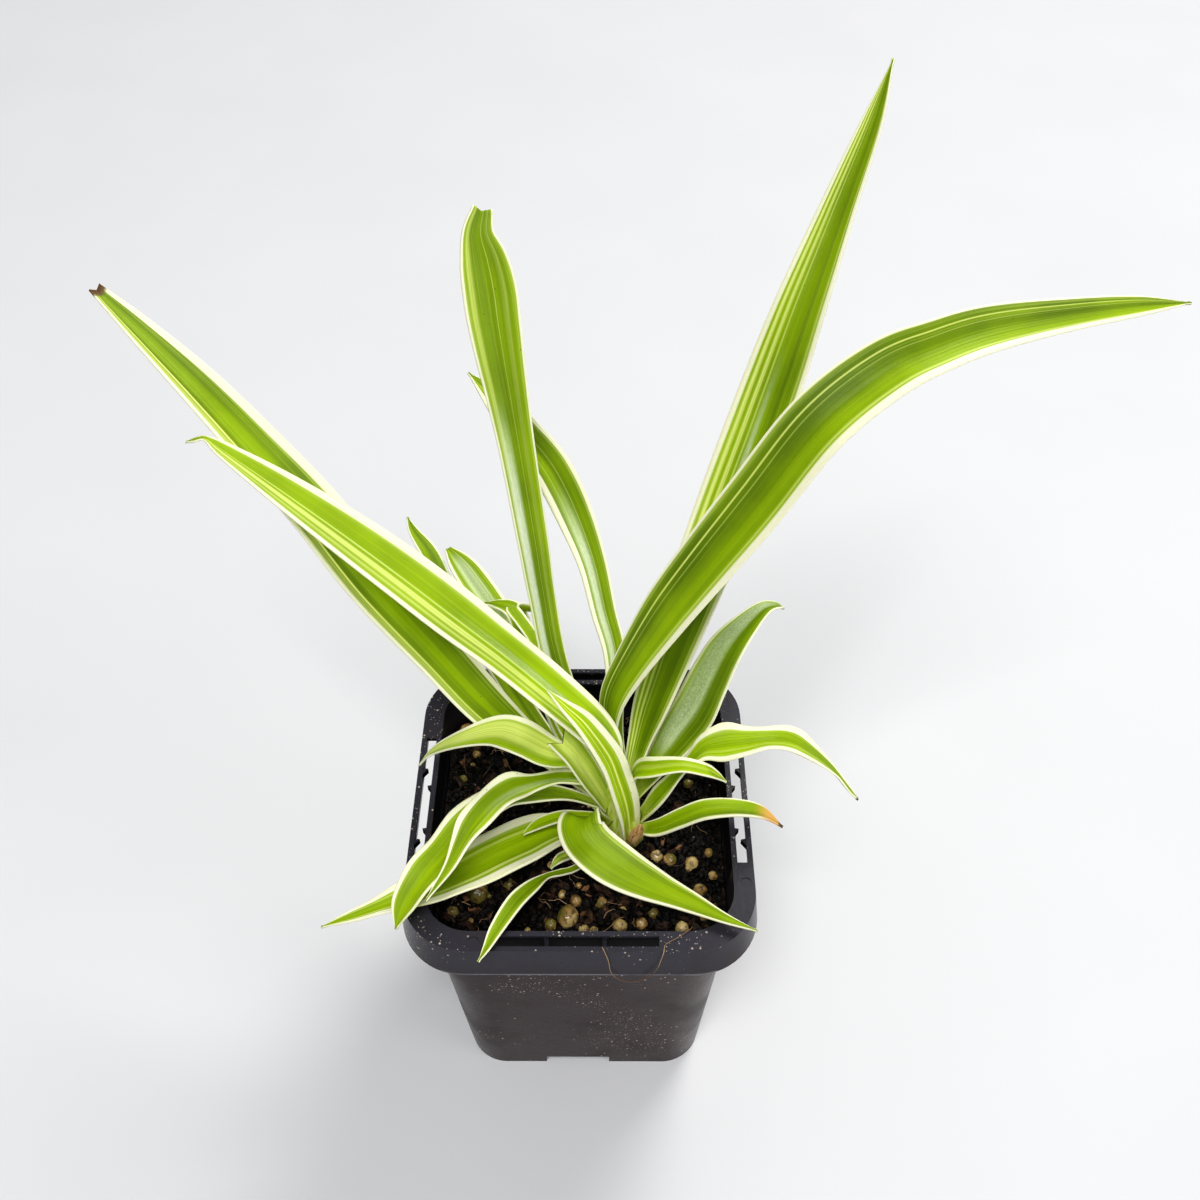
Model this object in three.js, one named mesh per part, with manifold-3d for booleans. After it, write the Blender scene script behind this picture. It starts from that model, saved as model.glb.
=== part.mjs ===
// Potted spider plant: a small square nursery pot filled with potting mix, and a young plant
// with one crown, a papery scale at its foot and 24 strap-shaped leaves.
// Millimetres, +Z up. The origin is the middle of the pot's base, on the surface it stands on.
import * as THREE from 'three';
import { mergeVertices } from 'three/addons/utils/BufferGeometryUtils.js';
import Module from 'manifold-3d';

const wasm = await Module();
wasm.setup();

// ---------------------------------------------------------------- driving dimensions
const FIT_GAP = 0.3; // air between two pieces that touch on the real plant

// pot, a thin injection-moulded square with rounded corners
const POT_HEIGHT = 90.7;
const RIM_WIDTH = 90;
const RIM_CORNER = 17;
const MOUTH_WIDTH = 79;
const MOUTH_CORNER = 12;
const BASE_WIDTH = 69.7;
const WALL = 1.3;
const FLOOR_BOTTOM = 3;
const FLOOR_TOP = 4.4;
const SKIRT_DEPTH = 10.4;
const SKIRT_FLARE = 2.3; // how much wider the skirt is at its lower edge
const RIM_PLATE = 1.6;
const CORNER_STEPS = 7;

// slots in the rim, one on each side
const SLOT_LENGTH = 40;
const SLOT_INSET = 1.35; // rim left outside the slot
const SLOT_WIDTH = 2.75;
const RIB_THICKNESS = 0.8;
const RIB_PLACES = [-8, 6.5]; // ribs in the front and back slots
const TOOTH_LENGTH = 3;
const TOOTH_DEPTH = 1.3;
const OUTER_TEETH = [8.6, -13.9]; // label teeth in the side slots
const INNER_TEETH = [3, -10.6];
const TOOTH_BOTTOM = 88.2;

// base
const NOTCH_WIDTH = 19;
const NOTCH_HEIGHT = 4;
const NOTCH_SHIFT = -1.9; // the front and back notches sit this far off the middle
const PAD_RADIUS = 9;
const DRAIN_RADIUS = 3.5;
const DRAIN_RING = 20;

// potting mix
const SOIL_LEVEL = 78.4;
const SOIL_SPOKES = 56;
const SOIL_RINGS = 9;
const CRUMB_COUNT = 26;
const CRUMB_SEED = 11;

// fertiliser prills on the mix: x, y, radius
const PRILLS = [
  [-34.3, 31, 2.2], [-27.1, -22.3, 3.1], [24.1, -11.9, 1.9], [29.9, -13.5, 1.9],
  [31.7, -21.3, 2.1], [10.4, -32.1, 2.1], [16.1, -31.5, 1.8], [26.5, -32.4, 1.8],
  [-4.8, -22.6, 1.3], [-1.1, -24.9, 1.8], [5.7, -25.2, 1.6], [-3.1, -29.6, 3.1],
  [-7.6, -32.2, 1.8], [19.3, -28.1, 1.6], [20.4, -11.2, 1.9], [35.4, -17.1, 1.3],
  [1.1, -32.8, 1.5], [-19, -19.9, 1.6], [-33.3, -27.6, 1.6], [-34, 14, 1.3],
  [-22, 30, 1.6], [18, 28, 1.8], [30, 12, 1.5], [-8, 33, 1.7], [30, 31, 1.6],
];

// crown: the short leaning stem that the leaf bases wrap, as height, radius, axis x, axis y
const CROWN_ROWS = [
  [63, 2.6, 11.6, -3.4], [66, 4.6, 11.5, -3.3], [72, 5.8, 11.4, -3.2], [79, 6.0, 11.2, -3.0],
  [84, 5.4, 11.0, -2.8], [90, 4.4, 10.8, -2.5], [97, 3.5, 10.5, -2.0], [104, 2.7, 10.2, -1.4],
  [110, 1.8, 10.0, -0.9], [113, 0.9, 9.9, -0.7],
];
const CROWN_SPOKES = 18;
const CROWN_FLATTEN = 0.86; // the leaf fan is flatter from front to back
const SHEATH_RIDGE = 0.05;
const SHEATH_COUNT = 5;

// leaves
const BLADE_THICKNESS = 0.75;
const BLADE_COLUMNS = 4;
const STEPS_PER_ROW = 2;
const TIP_WIDTH = 0.7;
const CHANNEL_POWER = 1.3;

// Each leaf: heading is the compass direction its upper face is squared to (degrees from +X),
// fold is how steeply its halves rise from the midrib, wave is [height, cycles, lag] of its
// margins, notch is the depth of a cut end, and rows run from base to tip as x, y, z, width, roll.
const LEAVES = {
  leaf_tall_right: { heading: 56, fold: 18, rows: [
    [12.9, -0.3, 98, 3.5, 0], [16, 8, 106, 7, 0], [20, 14, 118, 11, 0], [30, 28, 143, 15, 0],
    [39, 41, 164, 17, 0], [48, 55, 187, 16, 0], [54, 64, 204, 13.5, 0], [61, 75, 221, 9.5, 0],
    [68, 85, 238, 5.5, 0], [72, 92, 250, 0, 0]] },
  leaf_long_right: { heading: 27, fold: 14, rows: [
    [9.6, 0.6, 106, 3.5, 10], [8, 6, 114.8, 6, 15], [9, 6.4, 126.5, 8, 20],
    [14, 7.5, 139.5, 10, 20], [22, 10, 155, 13, 20], [31, 14, 168, 14.5, 20],
    [41, 19, 181, 15.5, 20], [54, 26, 198, 15.5, 20], [68, 33, 207, 14.5, 25],
    [80, 38, 210, 12.5, 30], [93, 44, 210.5, 11, 35], [113, 53, 208, 8, 35],
    [134, 64, 203, 5, 35], [151, 73, 198, 0, 35]] },
  leaf_long_left_back: { heading: 147, fold: 20, notch: 0.8, rows: [
    [7, 0.4, 88, 3, 0], [-8, 6.5, 99, 6.5, 0], [-24, 12, 113, 13, 0], [-38, 21, 126, 15, 0],
    [-54, 31, 142, 16.5, 0], [-68, 42, 157, 16, 0], [-82, 52, 169.5, 14.5, 0],
    [-96, 61, 182.5, 12, 0], [-110, 70, 193.5, 7.5, 0], [-119.4, 76, 200.4, 3.3, 0]] },
  leaf_long_left_front: { heading: 152, fold: 16, rows: [
    [9.2, -2.4, 104.5, 4.5, 0], [8, -2, 114.2, 9, 0], [3, 0, 122.2, 12, 0],
    [-8, 5, 131.2, 13.5, 0], [-19, 10.6, 138.5, 14, 0], [-31, 17, 145, 15.5, 0],
    [-43, 24, 151, 15.5, 0], [-57, 31.5, 158, 14, 0], [-74, 39.6, 167, 10, 0],
    [-87, 45, 174.5, 5, 0], [-91.3, 46.9, 177, 1.6, 0], [-94.2, 48, 175.8, 2.5, 0],
    [-97.5, 49.2, 174.2, 0, 0]] },
  leaf_inner_left: { heading: 145, fold: 20, rows: [
    [13, -7, 84, 7.5, 0], [12, -7, 96, 9, 0], [10, -7, 107, 9, 0], [8, -6, 115, 8.5, 0],
    [5, -5, 122, 7.5, 0], [1, -3, 128, 6, 0], [-3.2, -0.8, 131.5, 3.4, 0],
    [-7.4, 2, 134.5, 0, 0]] },
  leaf_cut_short: { heading: 138, fold: 22, notch: 3.4, rows: [
    [7.4, -4.1, 92, 3.6, 0], [5.2, -3.7, 98.5, 5.6, 0], [2, -3, 106, 7.3, 0],
    [-1.2, -1.2, 111.5, 7.6, 0], [-4.2, 0.6, 114.5, 7.8, 0]] },
  leaf_left_arching: { heading: 168, fold: 16, rows: [
    [7.3, -0.9, 96, 3, 0], [-1, 1.5, 105, 5, 0], [-9, 0, 112, 10, 0],
    [-15, -0.4, 117.5, 11.5, 0], [-21, 1.6, 117.5, 10, 0], [-30, 2.6, 113.5, 6.5, 0],
    [-39, 5, 105, 3, 0], [-44, 7, 96, 0, 0]] },
  leaf_left_upper: { heading: 205, fold: 16, wave: [0.9, 4, 1.7], rows: [
    [6.9, -1.2, 91.3, 3, 0], [3, -0.2, 97, 3.8, 0], [0.5, -1.5, 101.5, 4.2, 0],
    [-6, -3, 104, 5, 0], [-12, -6, 106.5, 6, 0], [-17, -9.4, 108.5, 8.5, 0],
    [-22, -13.7, 108.9, 9, 0], [-26, -19, 108.4, 8, 0], [-29, -24.4, 106.9, 5.5, 0],
    [-32, -30.8, 105.3, 3, 0], [-37, -37.8, 102.5, 0, 0]] },
  leaf_left_lower: { heading: 212, fold: 16, wave: [0.7, 4, 1.7], rows: [
    [6.8, -2.4, 89.8, 2.8, 0], [-5, -2, 95.3, 5.5, 0], [-16, -6, 101, 8, 0],
    [-23, -10.4, 103.4, 9, 0], [-29, -16, 102.1, 10, 0], [-34, -23, 101.2, 10, 0],
    [-39, -29.7, 99.9, 9.5, 0], [-43, -36, 97.3, 7.5, 0], [-45, -41, 94.3, 0, 0]] },
  leaf_left_low: { heading: 205, fold: 14, wave: [0.7, 4, 1.7], rows: [
    [6, -4.5, 82.2, 4, 0], [-2, -5.5, 84.2, 7.5, 0], [-8, -9, 88, 11, 0],
    [-15, -14, 90, 14, 0], [-22, -19, 92, 14, 0], [-29, -24, 93, 13, 0], [-36, -28, 93, 11, 0],
    [-43, -31, 93.4, 8, 0], [-50, -33, 91.6, 5.5, 0], [-57, -35, 90, 3.5, 0],
    [-65, -37, 88, 0, 0]] },
  leaf_tiny_left: { heading: 200, fold: 16, rows: [
    [6.6, -3.5, 87, 2, 0], [0, -4.7, 89, 3, 0], [-5, -5.9, 90.5, 3.5, 0],
    [-10.1, -8.5, 91.6, 3.5, 0], [-13.1, -10.9, 92.2, 2, 0], [-15, -12.5, 92, 0, 0]] },
  leaf_front_curled: { heading: -75, fold: 14, rows: [
    [7.4, -6.4, 87.6, 3.5, 0], [4, -7.9, 91.6, 6.3, 0], [1.2, -9, 94.6, 10, 0],
    [0.2, -12.5, 95, 12.5, 0], [3, -17, 93.5, 13, 0], [10.5, -22.5, 91.5, 12.5, 0],
    [19, -27.5, 91, 10, 0], [28, -32.5, 92, 6.5, 0], [36, -37.2, 93.2, 3, 0],
    [44, -41, 94, 0, 0]] },
  leaf_front_left: { heading: 235, fold: 14, rows: [
    [9, -8, 80.8, 2.2, 0], [-0.9, -17.4, 84, 2, 0], [-4.7, -19.8, 85.5, 2.2, 0],
    [-8.7, -21.9, 87, 1.9, 0], [-12.4, -26.5, 89.5, 4, 0], [-16.1, -32.2, 92, 4.6, 0],
    [-20, -40.5, 94, 3.6, 0], [-22.3, -45.8, 94, 1.8, 0], [-24.2, -48.9, 93, 0, 0]] },
  leaf_front_tiny: { heading: 225, fold: 14, rows: [
    [7, -6.5, 80.3, 2.2, 0], [-3, -12.3, 82, 3.3, 0], [-6, -15.3, 84, 2.5, 0],
    [-8, -17.3, 83, 0, 0]] },
  leaf_right_low: { heading: 0, fold: 16, rows: [
    [16, -4.4, 82, 3.2, 0], [21, -6.6, 86, 5.5, 0], [27, -7, 91, 6.5, 0],
    [33, -7, 95, 6.5, 0], [41, -7, 96, 5.5, 0], [48, -7, 94, 4, 0], [54, -8, 89, 0, 0]] },
  leaf_right_wavy: { heading: 3, fold: 16, wave: [1, 3.2, 3.1], rows: [
    [16.2, -2.2, 84.5, 4, 0], [20.2, -3.6, 95, 6.5, 0], [24, -3.3, 102.3, 6, 0],
    [28, -2.3, 109.3, 6, 0], [32, -1, 114, 7.5, 0], [37, -1, 116, 11, 0], [42, -1, 117, 10.5, 0],
    [48, 0, 117, 8, 0], [54, 1, 115, 7.5, 0], [59, 1, 111, 7, 0], [66, 1, 103, 5.5, 0],
    [71, 0, 96, 3.5, 0], [75, 0, 90, 0, 0]] },
  leaf_right_twisted: { heading: -3, fold: 12, rows: [
    [13.2, -1.2, 101, 3.5, 0], [15.3, -2.2, 107, 5.5, 0], [19, -5, 111.6, 6, 0],
    [26, -6.6, 115, 4.5, 0], [32, -6.9, 113.4, 4, 0], [35, -7.1, 111.5, 2.5, 0],
    [37.6, -8, 109.8, 0, 0]] },
  leaf_right_broad: { heading: 38, fold: 20, rows: [
    [13.8, 0, 91, 4, 0], [21, 5, 100, 8, 0], [26, 8, 107, 12, 0], [31, 11, 115, 14, 0],
    [34.5, 14, 124, 13, 0], [38, 17, 132, 11, 0], [42, 20, 137, 8, 0], [47, 24, 140, 4.5, 0],
    [51, 27, 138, 2.5, 0], [53, 29, 135, 0, 0]] },
  leaf_tall_left: { heading: 112, fold: 22, notch: 0.8, rows: [
    [8.8, 0.8, 98, 3.5, 0], [1, 9.5, 108, 4.5, 0], [-6, 14, 130, 6.5, 0], [-9, 20, 148, 7, 0],
    [-11, 25, 164, 8, 0], [-14, 33, 185, 9, 0], [-16, 38, 198, 10.5, 0],
    [-18, 43, 211, 12.5, 0], [-19, 47, 218, 13, 0], [-20, 50, 224, 11.5, 0],
    [-21, 53, 229, 7.5, 0], [-20, 56, 233, 4.4, 0]] },
  leaf_back_arching: { heading: 118, fold: 18, rows: [
    [12, 0.7, 94.5, 3.5, 0], [9, 10, 106, 5, 0], [9, 20, 125, 6, 0], [6, 27, 136, 7, 0],
    [3, 34, 147, 8, 0], [-1.5, 40, 158, 10, 0], [-7, 45, 168.5, 10.5, 0],
    [-14, 50, 176, 9.5, 0], [-20, 55, 182, 7, 0], [-27, 60, 187, 0, 0]] },
  leaf_back_left_far: { heading: 126, fold: 18, rows: [
    [7, -1, 84, 4, 0], [-11, 22, 89, 6, 0], [-25, 38.5, 101.5, 6.5, 0],
    [-37, 52.5, 111.5, 5.5, 0], [-44, 64, 119, 5.5, 0], [-49, 70, 123, 3, 0],
    [-51, 74, 125, 0, 0]] },
  leaf_back_left_broad: { heading: 122, fold: 18, rows: [
    [8.8, 1.2, 85.6, 3.5, 0], [-3, 15, 94, 6, 0], [-11, 28, 106, 7, 0], [-22, 41, 115.5, 8.5, 0],
    [-30, 52, 119.5, 9, 0], [-35, 60, 120, 7, 0], [-39, 66, 120, 2, 0]] },
  leaf_back_left_short: { heading: 120, fold: 18, rows: [
    [9, 0.9, 90, 2.8, 0], [-2, 12, 99, 4, 0], [-9, 24, 107, 5, 0], [-15, 33, 117.5, 6, 0],
    [-18, 38, 123.3, 5.5, 0], [-23, 40.5, 123.8, 3.5, 0], [-28, 43.2, 121.3, 0, 0]] },
  leaf_back_left_curled: { heading: 115, fold: 18, rows: [
    [8.2, 0.2, 93.5, 2.6, 0], [-2, 12, 105, 3.5, 0], [-8, 20, 119, 3.5, 0],
    [-12, 26.6, 124.7, 3.5, 0], [-16, 31.6, 127.7, 3.5, 0], [-18, 34.6, 128.7, 3.5, 0],
    [-14, 38, 124.8, 3, 0], [-10, 42, 119.5, 0, 0]] },
};

// the papery brown scale at the foot of the crown
const SCALE_LEAF = { heading: -70, fold: 30, rows: [
  [13.4, -5.8, 78.8, 3.6, 0], [14.3, -9.8, 82, 4.8, 0], [14.8, -11, 86.5, 5, 0],
  [15.4, -10.8, 90.5, 3.6, 0], [15.9, -10.1, 93.2, 0.8, 0]] };

// ---------------------------------------------------------------- solids and meshes
function solid(geometry) {
  const bare = geometry.clone();
  bare.deleteAttribute('normal');
  bare.deleteAttribute('uv');
  const merged = mergeVertices(bare, 1e-4);
  return new wasm.Manifold(new wasm.Mesh({
    numProp: 3,
    vertProperties: new Float32Array(merged.attributes.position.array),
    triVerts: new Uint32Array(merged.index.array),
  }));
}

function geometryOf(manifold) {
  const mesh = manifold.getMesh();
  const geometry = new THREE.BufferGeometry();
  geometry.setAttribute('position', new THREE.BufferAttribute(mesh.vertProperties, 3));
  geometry.setIndex(new THREE.BufferAttribute(mesh.triVerts, 1));
  geometry.computeVertexNormals();
  return geometry;
}

function namedMesh(name, manifold, color, roughness) {
  const material = new THREE.MeshStandardMaterial({ color, roughness, metalness: 0 });
  const mesh = new THREE.Mesh(geometryOf(manifold), material);
  mesh.name = name;
  return mesh;
}

function moveVertices(geometry, move) {
  const position = geometry.attributes.position;
  const point = new THREE.Vector3();
  for (let i = 0; i < position.count; i += 1) {
    point.fromBufferAttribute(position, i);
    move(point);
    position.setXYZ(i, point.x, point.y, point.z);
  }
  return geometry;
}

// ---------------------------------------------------------------- pot
function roundedSquare(width, corner) {
  const half = width / 2;
  const straight = half - corner;
  const shape = new THREE.Shape();
  shape.absarc(straight, straight, corner, 0, Math.PI / 2, false);
  shape.absarc(-straight, straight, corner, Math.PI / 2, Math.PI, false);
  shape.absarc(-straight, -straight, corner, Math.PI, 1.5 * Math.PI, false);
  shape.absarc(straight, -straight, corner, 1.5 * Math.PI, 2 * Math.PI, false);
  return shape;
}

// a rounded square block from z0 to z1 that is width0 wide below and width1 wide above
function taperedBlock(width0, width1, corner, z0, z1) {
  const geometry = new THREE.ExtrudeGeometry(roundedSquare(width1, corner), {
    depth: z1 - z0, bevelEnabled: false, curveSegments: CORNER_STEPS,
  });
  geometry.translate(0, 0, z0);
  moveVertices(geometry, (p) => {
    const rise = (p.z - z0) / (z1 - z0);
    const scale = (width0 + (width1 - width0) * rise) / width1;
    p.x *= scale;
    p.y *= scale;
  });
  return solid(geometry);
}

function block(width, depth, height, x, y, z) {
  return solid(new THREE.BoxGeometry(width, depth, height).translate(x, y, z));
}

const bodyTopWidth = MOUTH_WIDTH + 2 * WALL;
const bodyWidthAt = (z) => BASE_WIDTH + (bodyTopWidth - BASE_WIDTH) * z / POT_HEIGHT;
const skirtWidthAt = (z) => RIM_WIDTH + SKIRT_FLARE * (POT_HEIGHT - z) / SKIRT_DEPTH;
const cavityWidthAt = (z) => bodyWidthAt(z) - 2 * WALL;

function potShell() {
  const skirtBottom = POT_HEIGHT - SKIRT_DEPTH;
  const gapTop = POT_HEIGHT - RIM_PLATE;
  const below = 1; // cutters run this far past the face they open
  const skirt = taperedBlock(skirtWidthAt(skirtBottom), RIM_WIDTH, RIM_CORNER,
    skirtBottom, POT_HEIGHT);
  const gap = taperedBlock(skirtWidthAt(skirtBottom - below) - 2 * WALL,
    skirtWidthAt(gapTop) - 2 * WALL, RIM_CORNER - WALL, skirtBottom - below, gapTop);
  const body = taperedBlock(BASE_WIDTH, bodyTopWidth, MOUTH_CORNER + WALL, 0, POT_HEIGHT);
  const cavity = taperedBlock(cavityWidthAt(FLOOR_TOP), cavityWidthAt(POT_HEIGHT + below),
    MOUTH_CORNER, FLOOR_TOP, POT_HEIGHT + below);
  const recess = taperedBlock(cavityWidthAt(-below), cavityWidthAt(FLOOR_BOTTOM),
    MOUTH_CORNER - WALL, -below, FLOOR_BOTTOM);
  return skirt.subtract(gap).add(body).subtract(cavity).subtract(recess);
}

function slotCutters() {
  const centre = RIM_WIDTH / 2 - SLOT_INSET - SLOT_WIDTH / 2;
  const height = 3 * RIM_PLATE;
  const z = POT_HEIGHT - RIM_PLATE / 2;
  return [
    block(SLOT_WIDTH, SLOT_LENGTH, height, centre, 0, z),
    block(SLOT_WIDTH, SLOT_LENGTH, height, -centre, 0, z),
    block(SLOT_LENGTH, SLOT_WIDTH, height, 0, centre, z),
    block(SLOT_LENGTH, SLOT_WIDTH, height, 0, -centre, z),
  ];
}

function notchCutters() {
  const reach = BASE_WIDTH + 2;
  return [
    block(NOTCH_WIDTH, reach, 2 * NOTCH_HEIGHT, NOTCH_SHIFT, 0, 0),
    block(reach, NOTCH_WIDTH, 2 * NOTCH_HEIGHT, 0, 0, 0),
  ];
}

// upright ribs that tie the skirt to the body under the front and back slots
function slotRibs() {
  const bottom = POT_HEIGHT - SKIRT_DEPTH + 1.5;
  const top = POT_HEIGHT - RIM_PLATE - 1;
  const middle = (bottom + top) / 2;
  const inner = bodyWidthAt(bottom) / 2 - WALL / 2;
  const outer = skirtWidthAt(top) / 2 - WALL / 2;
  return RIB_PLACES.flatMap((x) => [-1, 1].map((side) => block(
    RIB_THICKNESS, outer - inner, top - bottom, x, side * (inner + outer) / 2, middle)));
}

// a small three-sided tooth that stands out of a slot's wall along +X or -X
function tooth(wallX, y, direction) {
  const shape = new THREE.Shape();
  shape.moveTo(wallX - direction * WALL / 2, y - TOOTH_LENGTH / 2);
  shape.lineTo(wallX + direction * TOOTH_DEPTH, y + TOOTH_LENGTH / 2 - 0.4);
  shape.lineTo(wallX - direction * WALL / 2, y + TOOTH_LENGTH / 2);
  const depth = POT_HEIGHT - 0.5 - TOOTH_BOTTOM;
  return solid(new THREE.ExtrudeGeometry(shape, { depth, bevelEnabled: false })
    .translate(0, 0, TOOTH_BOTTOM));
}

function slotTeeth() {
  const outerWall = RIM_WIDTH / 2 - SLOT_INSET;
  const innerWall = bodyTopWidth / 2 - 0.1;
  return [-1, 1].flatMap((side) => [
    ...OUTER_TEETH.map((y) => tooth(side * outerWall, y, -side)),
    ...INNER_TEETH.map((y) => tooth(side * innerWall, y, side)),
  ]);
}

function drainCutters() {
  const drains = [];
  for (let k = 0; k < 8; k += 1) {
    const ring = k % 2 === 0 ? DRAIN_RING : DRAIN_RING * Math.SQRT2;
    const angle = k * Math.PI / 4;
    const hole = new THREE.CylinderGeometry(DRAIN_RADIUS, DRAIN_RADIUS, 4 * FLOOR_TOP, 14);
    hole.rotateX(Math.PI / 2);
    hole.translate(ring * Math.cos(angle), ring * Math.sin(angle), 0);
    drains.push(solid(hole));
  }
  return drains;
}

function makePot() {
  let pot = potShell();
  for (const cutter of [...slotCutters(), ...notchCutters()]) pot = pot.subtract(cutter);
  const floor = taperedBlock(bodyWidthAt(FLOOR_BOTTOM) - WALL, bodyWidthAt(FLOOR_TOP) - WALL,
    MOUTH_CORNER, FLOOR_BOTTOM, FLOOR_TOP);
  const pad = new THREE.CylinderGeometry(PAD_RADIUS, PAD_RADIUS, FLOOR_BOTTOM + 0.5, 32);
  pad.rotateX(Math.PI / 2);
  pad.translate(0, 0, (FLOOR_BOTTOM + 0.5) / 2);
  for (const piece of [floor, solid(pad), ...slotRibs(), ...slotTeeth()]) pot = pot.add(piece);
  for (const drain of drainCutters()) pot = pot.subtract(drain);
  return pot;
}

// ---------------------------------------------------------------- crown
function crownGeometry(swell) {
  const top = CROWN_ROWS.length - 1;
  const profile = [new THREE.Vector2(0, CROWN_ROWS[0][0] - swell)];
  for (const [height, radius] of CROWN_ROWS) profile.push(new THREE.Vector2(radius, height));
  profile.push(new THREE.Vector2(0, CROWN_ROWS[top][0] + 0.5 + swell));
  const geometry = new THREE.LatheGeometry(profile, CROWN_SPOKES);
  geometry.rotateX(Math.PI / 2);
  return moveVertices(geometry, (p) => {
    const row = CROWN_ROWS.findLastIndex(([height]) => height <= p.z + 1e-3);
    const low = CROWN_ROWS[Math.max(row, 0)];
    const angle = Math.atan2(p.y, p.x);
    const ridge = 1 + SHEATH_RIDGE * Math.cos(SHEATH_COUNT * angle + p.z / 5);
    const radius = Math.hypot(p.x, p.y);
    const reach = radius > 0 ? radius * ridge + swell : 0;
    p.x = low[2] + reach * Math.cos(angle);
    p.y = low[3] + reach * CROWN_FLATTEN * Math.sin(angle);
  });
}

// ---------------------------------------------------------------- potting mix
function squareReach(angle, half, corner) {
  const c = Math.max(Math.abs(Math.cos(angle)), Math.abs(Math.sin(angle)));
  const s = Math.min(Math.abs(Math.cos(angle)), Math.abs(Math.sin(angle)));
  const a = half - corner;
  if (half * s / c <= a) return half / c;
  const b = a * (c + s);
  return b + Math.sqrt(b * b - 2 * a * a + corner * corner);
}

function soilHeight(x, y) {
  return SOIL_LEVEL + 0.55 * Math.sin(0.31 * x + 1.1) * Math.cos(0.27 * y - 0.4)
    + 0.35 * Math.sin(0.83 * x - 0.42 * y) * Math.sin(0.61 * y + 2)
    + 0.2 * Math.sin(1.7 * x + 0.9 * y) * Math.cos(1.3 * y - 0.6 * x);
}

function soilBed() {
  const bottom = FLOOR_TOP + FIT_GAP;
  const profile = [new THREE.Vector2(0, bottom), new THREE.Vector2(1, bottom)];
  for (let ring = SOIL_RINGS; ring >= 0; ring -= 1) {
    profile.push(new THREE.Vector2(ring / SOIL_RINGS, SOIL_LEVEL));
  }
  const geometry = new THREE.LatheGeometry(profile, SOIL_SPOKES);
  geometry.rotateX(Math.PI / 2);
  return solid(moveVertices(geometry, (p) => {
    const half = cavityWidthAt(p.z) / 2 - FIT_GAP;
    const angle = Math.atan2(p.y, p.x);
    const reach = squareReach(angle, half, MOUTH_CORNER) * Math.hypot(p.x, p.y);
    p.x = reach * Math.cos(angle);
    p.y = reach * Math.sin(angle);
    if (p.z > bottom + 1) p.z = soilHeight(p.x, p.y);
  }));
}

function randomFrom(seed) {
  let state = seed;
  return () => {
    state = (Math.imul(state, 1664525) + 1013904223) >>> 0;
    return state / 4294967296;
  };
}

function prill([x, y, radius]) {
  const ball = new THREE.IcosahedronGeometry(radius, 1);
  return solid(ball.translate(x, y, soilHeight(x, y) + 0.35 * radius));
}

// bark crumbs, scattered clear of the crown and the walls
function crumbs() {
  const random = randomFrom(CRUMB_SEED);
  const reach = MOUTH_WIDTH / 2 - 5;
  const pieces = [];
  while (pieces.length < CRUMB_COUNT) {
    const x = (2 * random() - 1) * reach;
    const y = (2 * random() - 1) * reach;
    const size = 0.8 + 0.9 * random();
    const turn = Math.PI * random();
    if (Math.hypot(x - 11, y + 3) < 11) continue;
    const crumb = new THREE.OctahedronGeometry(1, 0).scale(1.5 * size, 0.8 * size, 0.8 * size);
    pieces.push(solid(crumb.rotateZ(turn).translate(x, y, soilHeight(x, y) + 0.15 * size)));
  }
  return pieces;
}

function makeSoil(crownHole) {
  let soil = soilBed();
  for (const piece of [...PRILLS.map(prill), ...crumbs()]) soil = soil.add(piece);
  return soil.subtract(crownHole);
}

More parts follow.
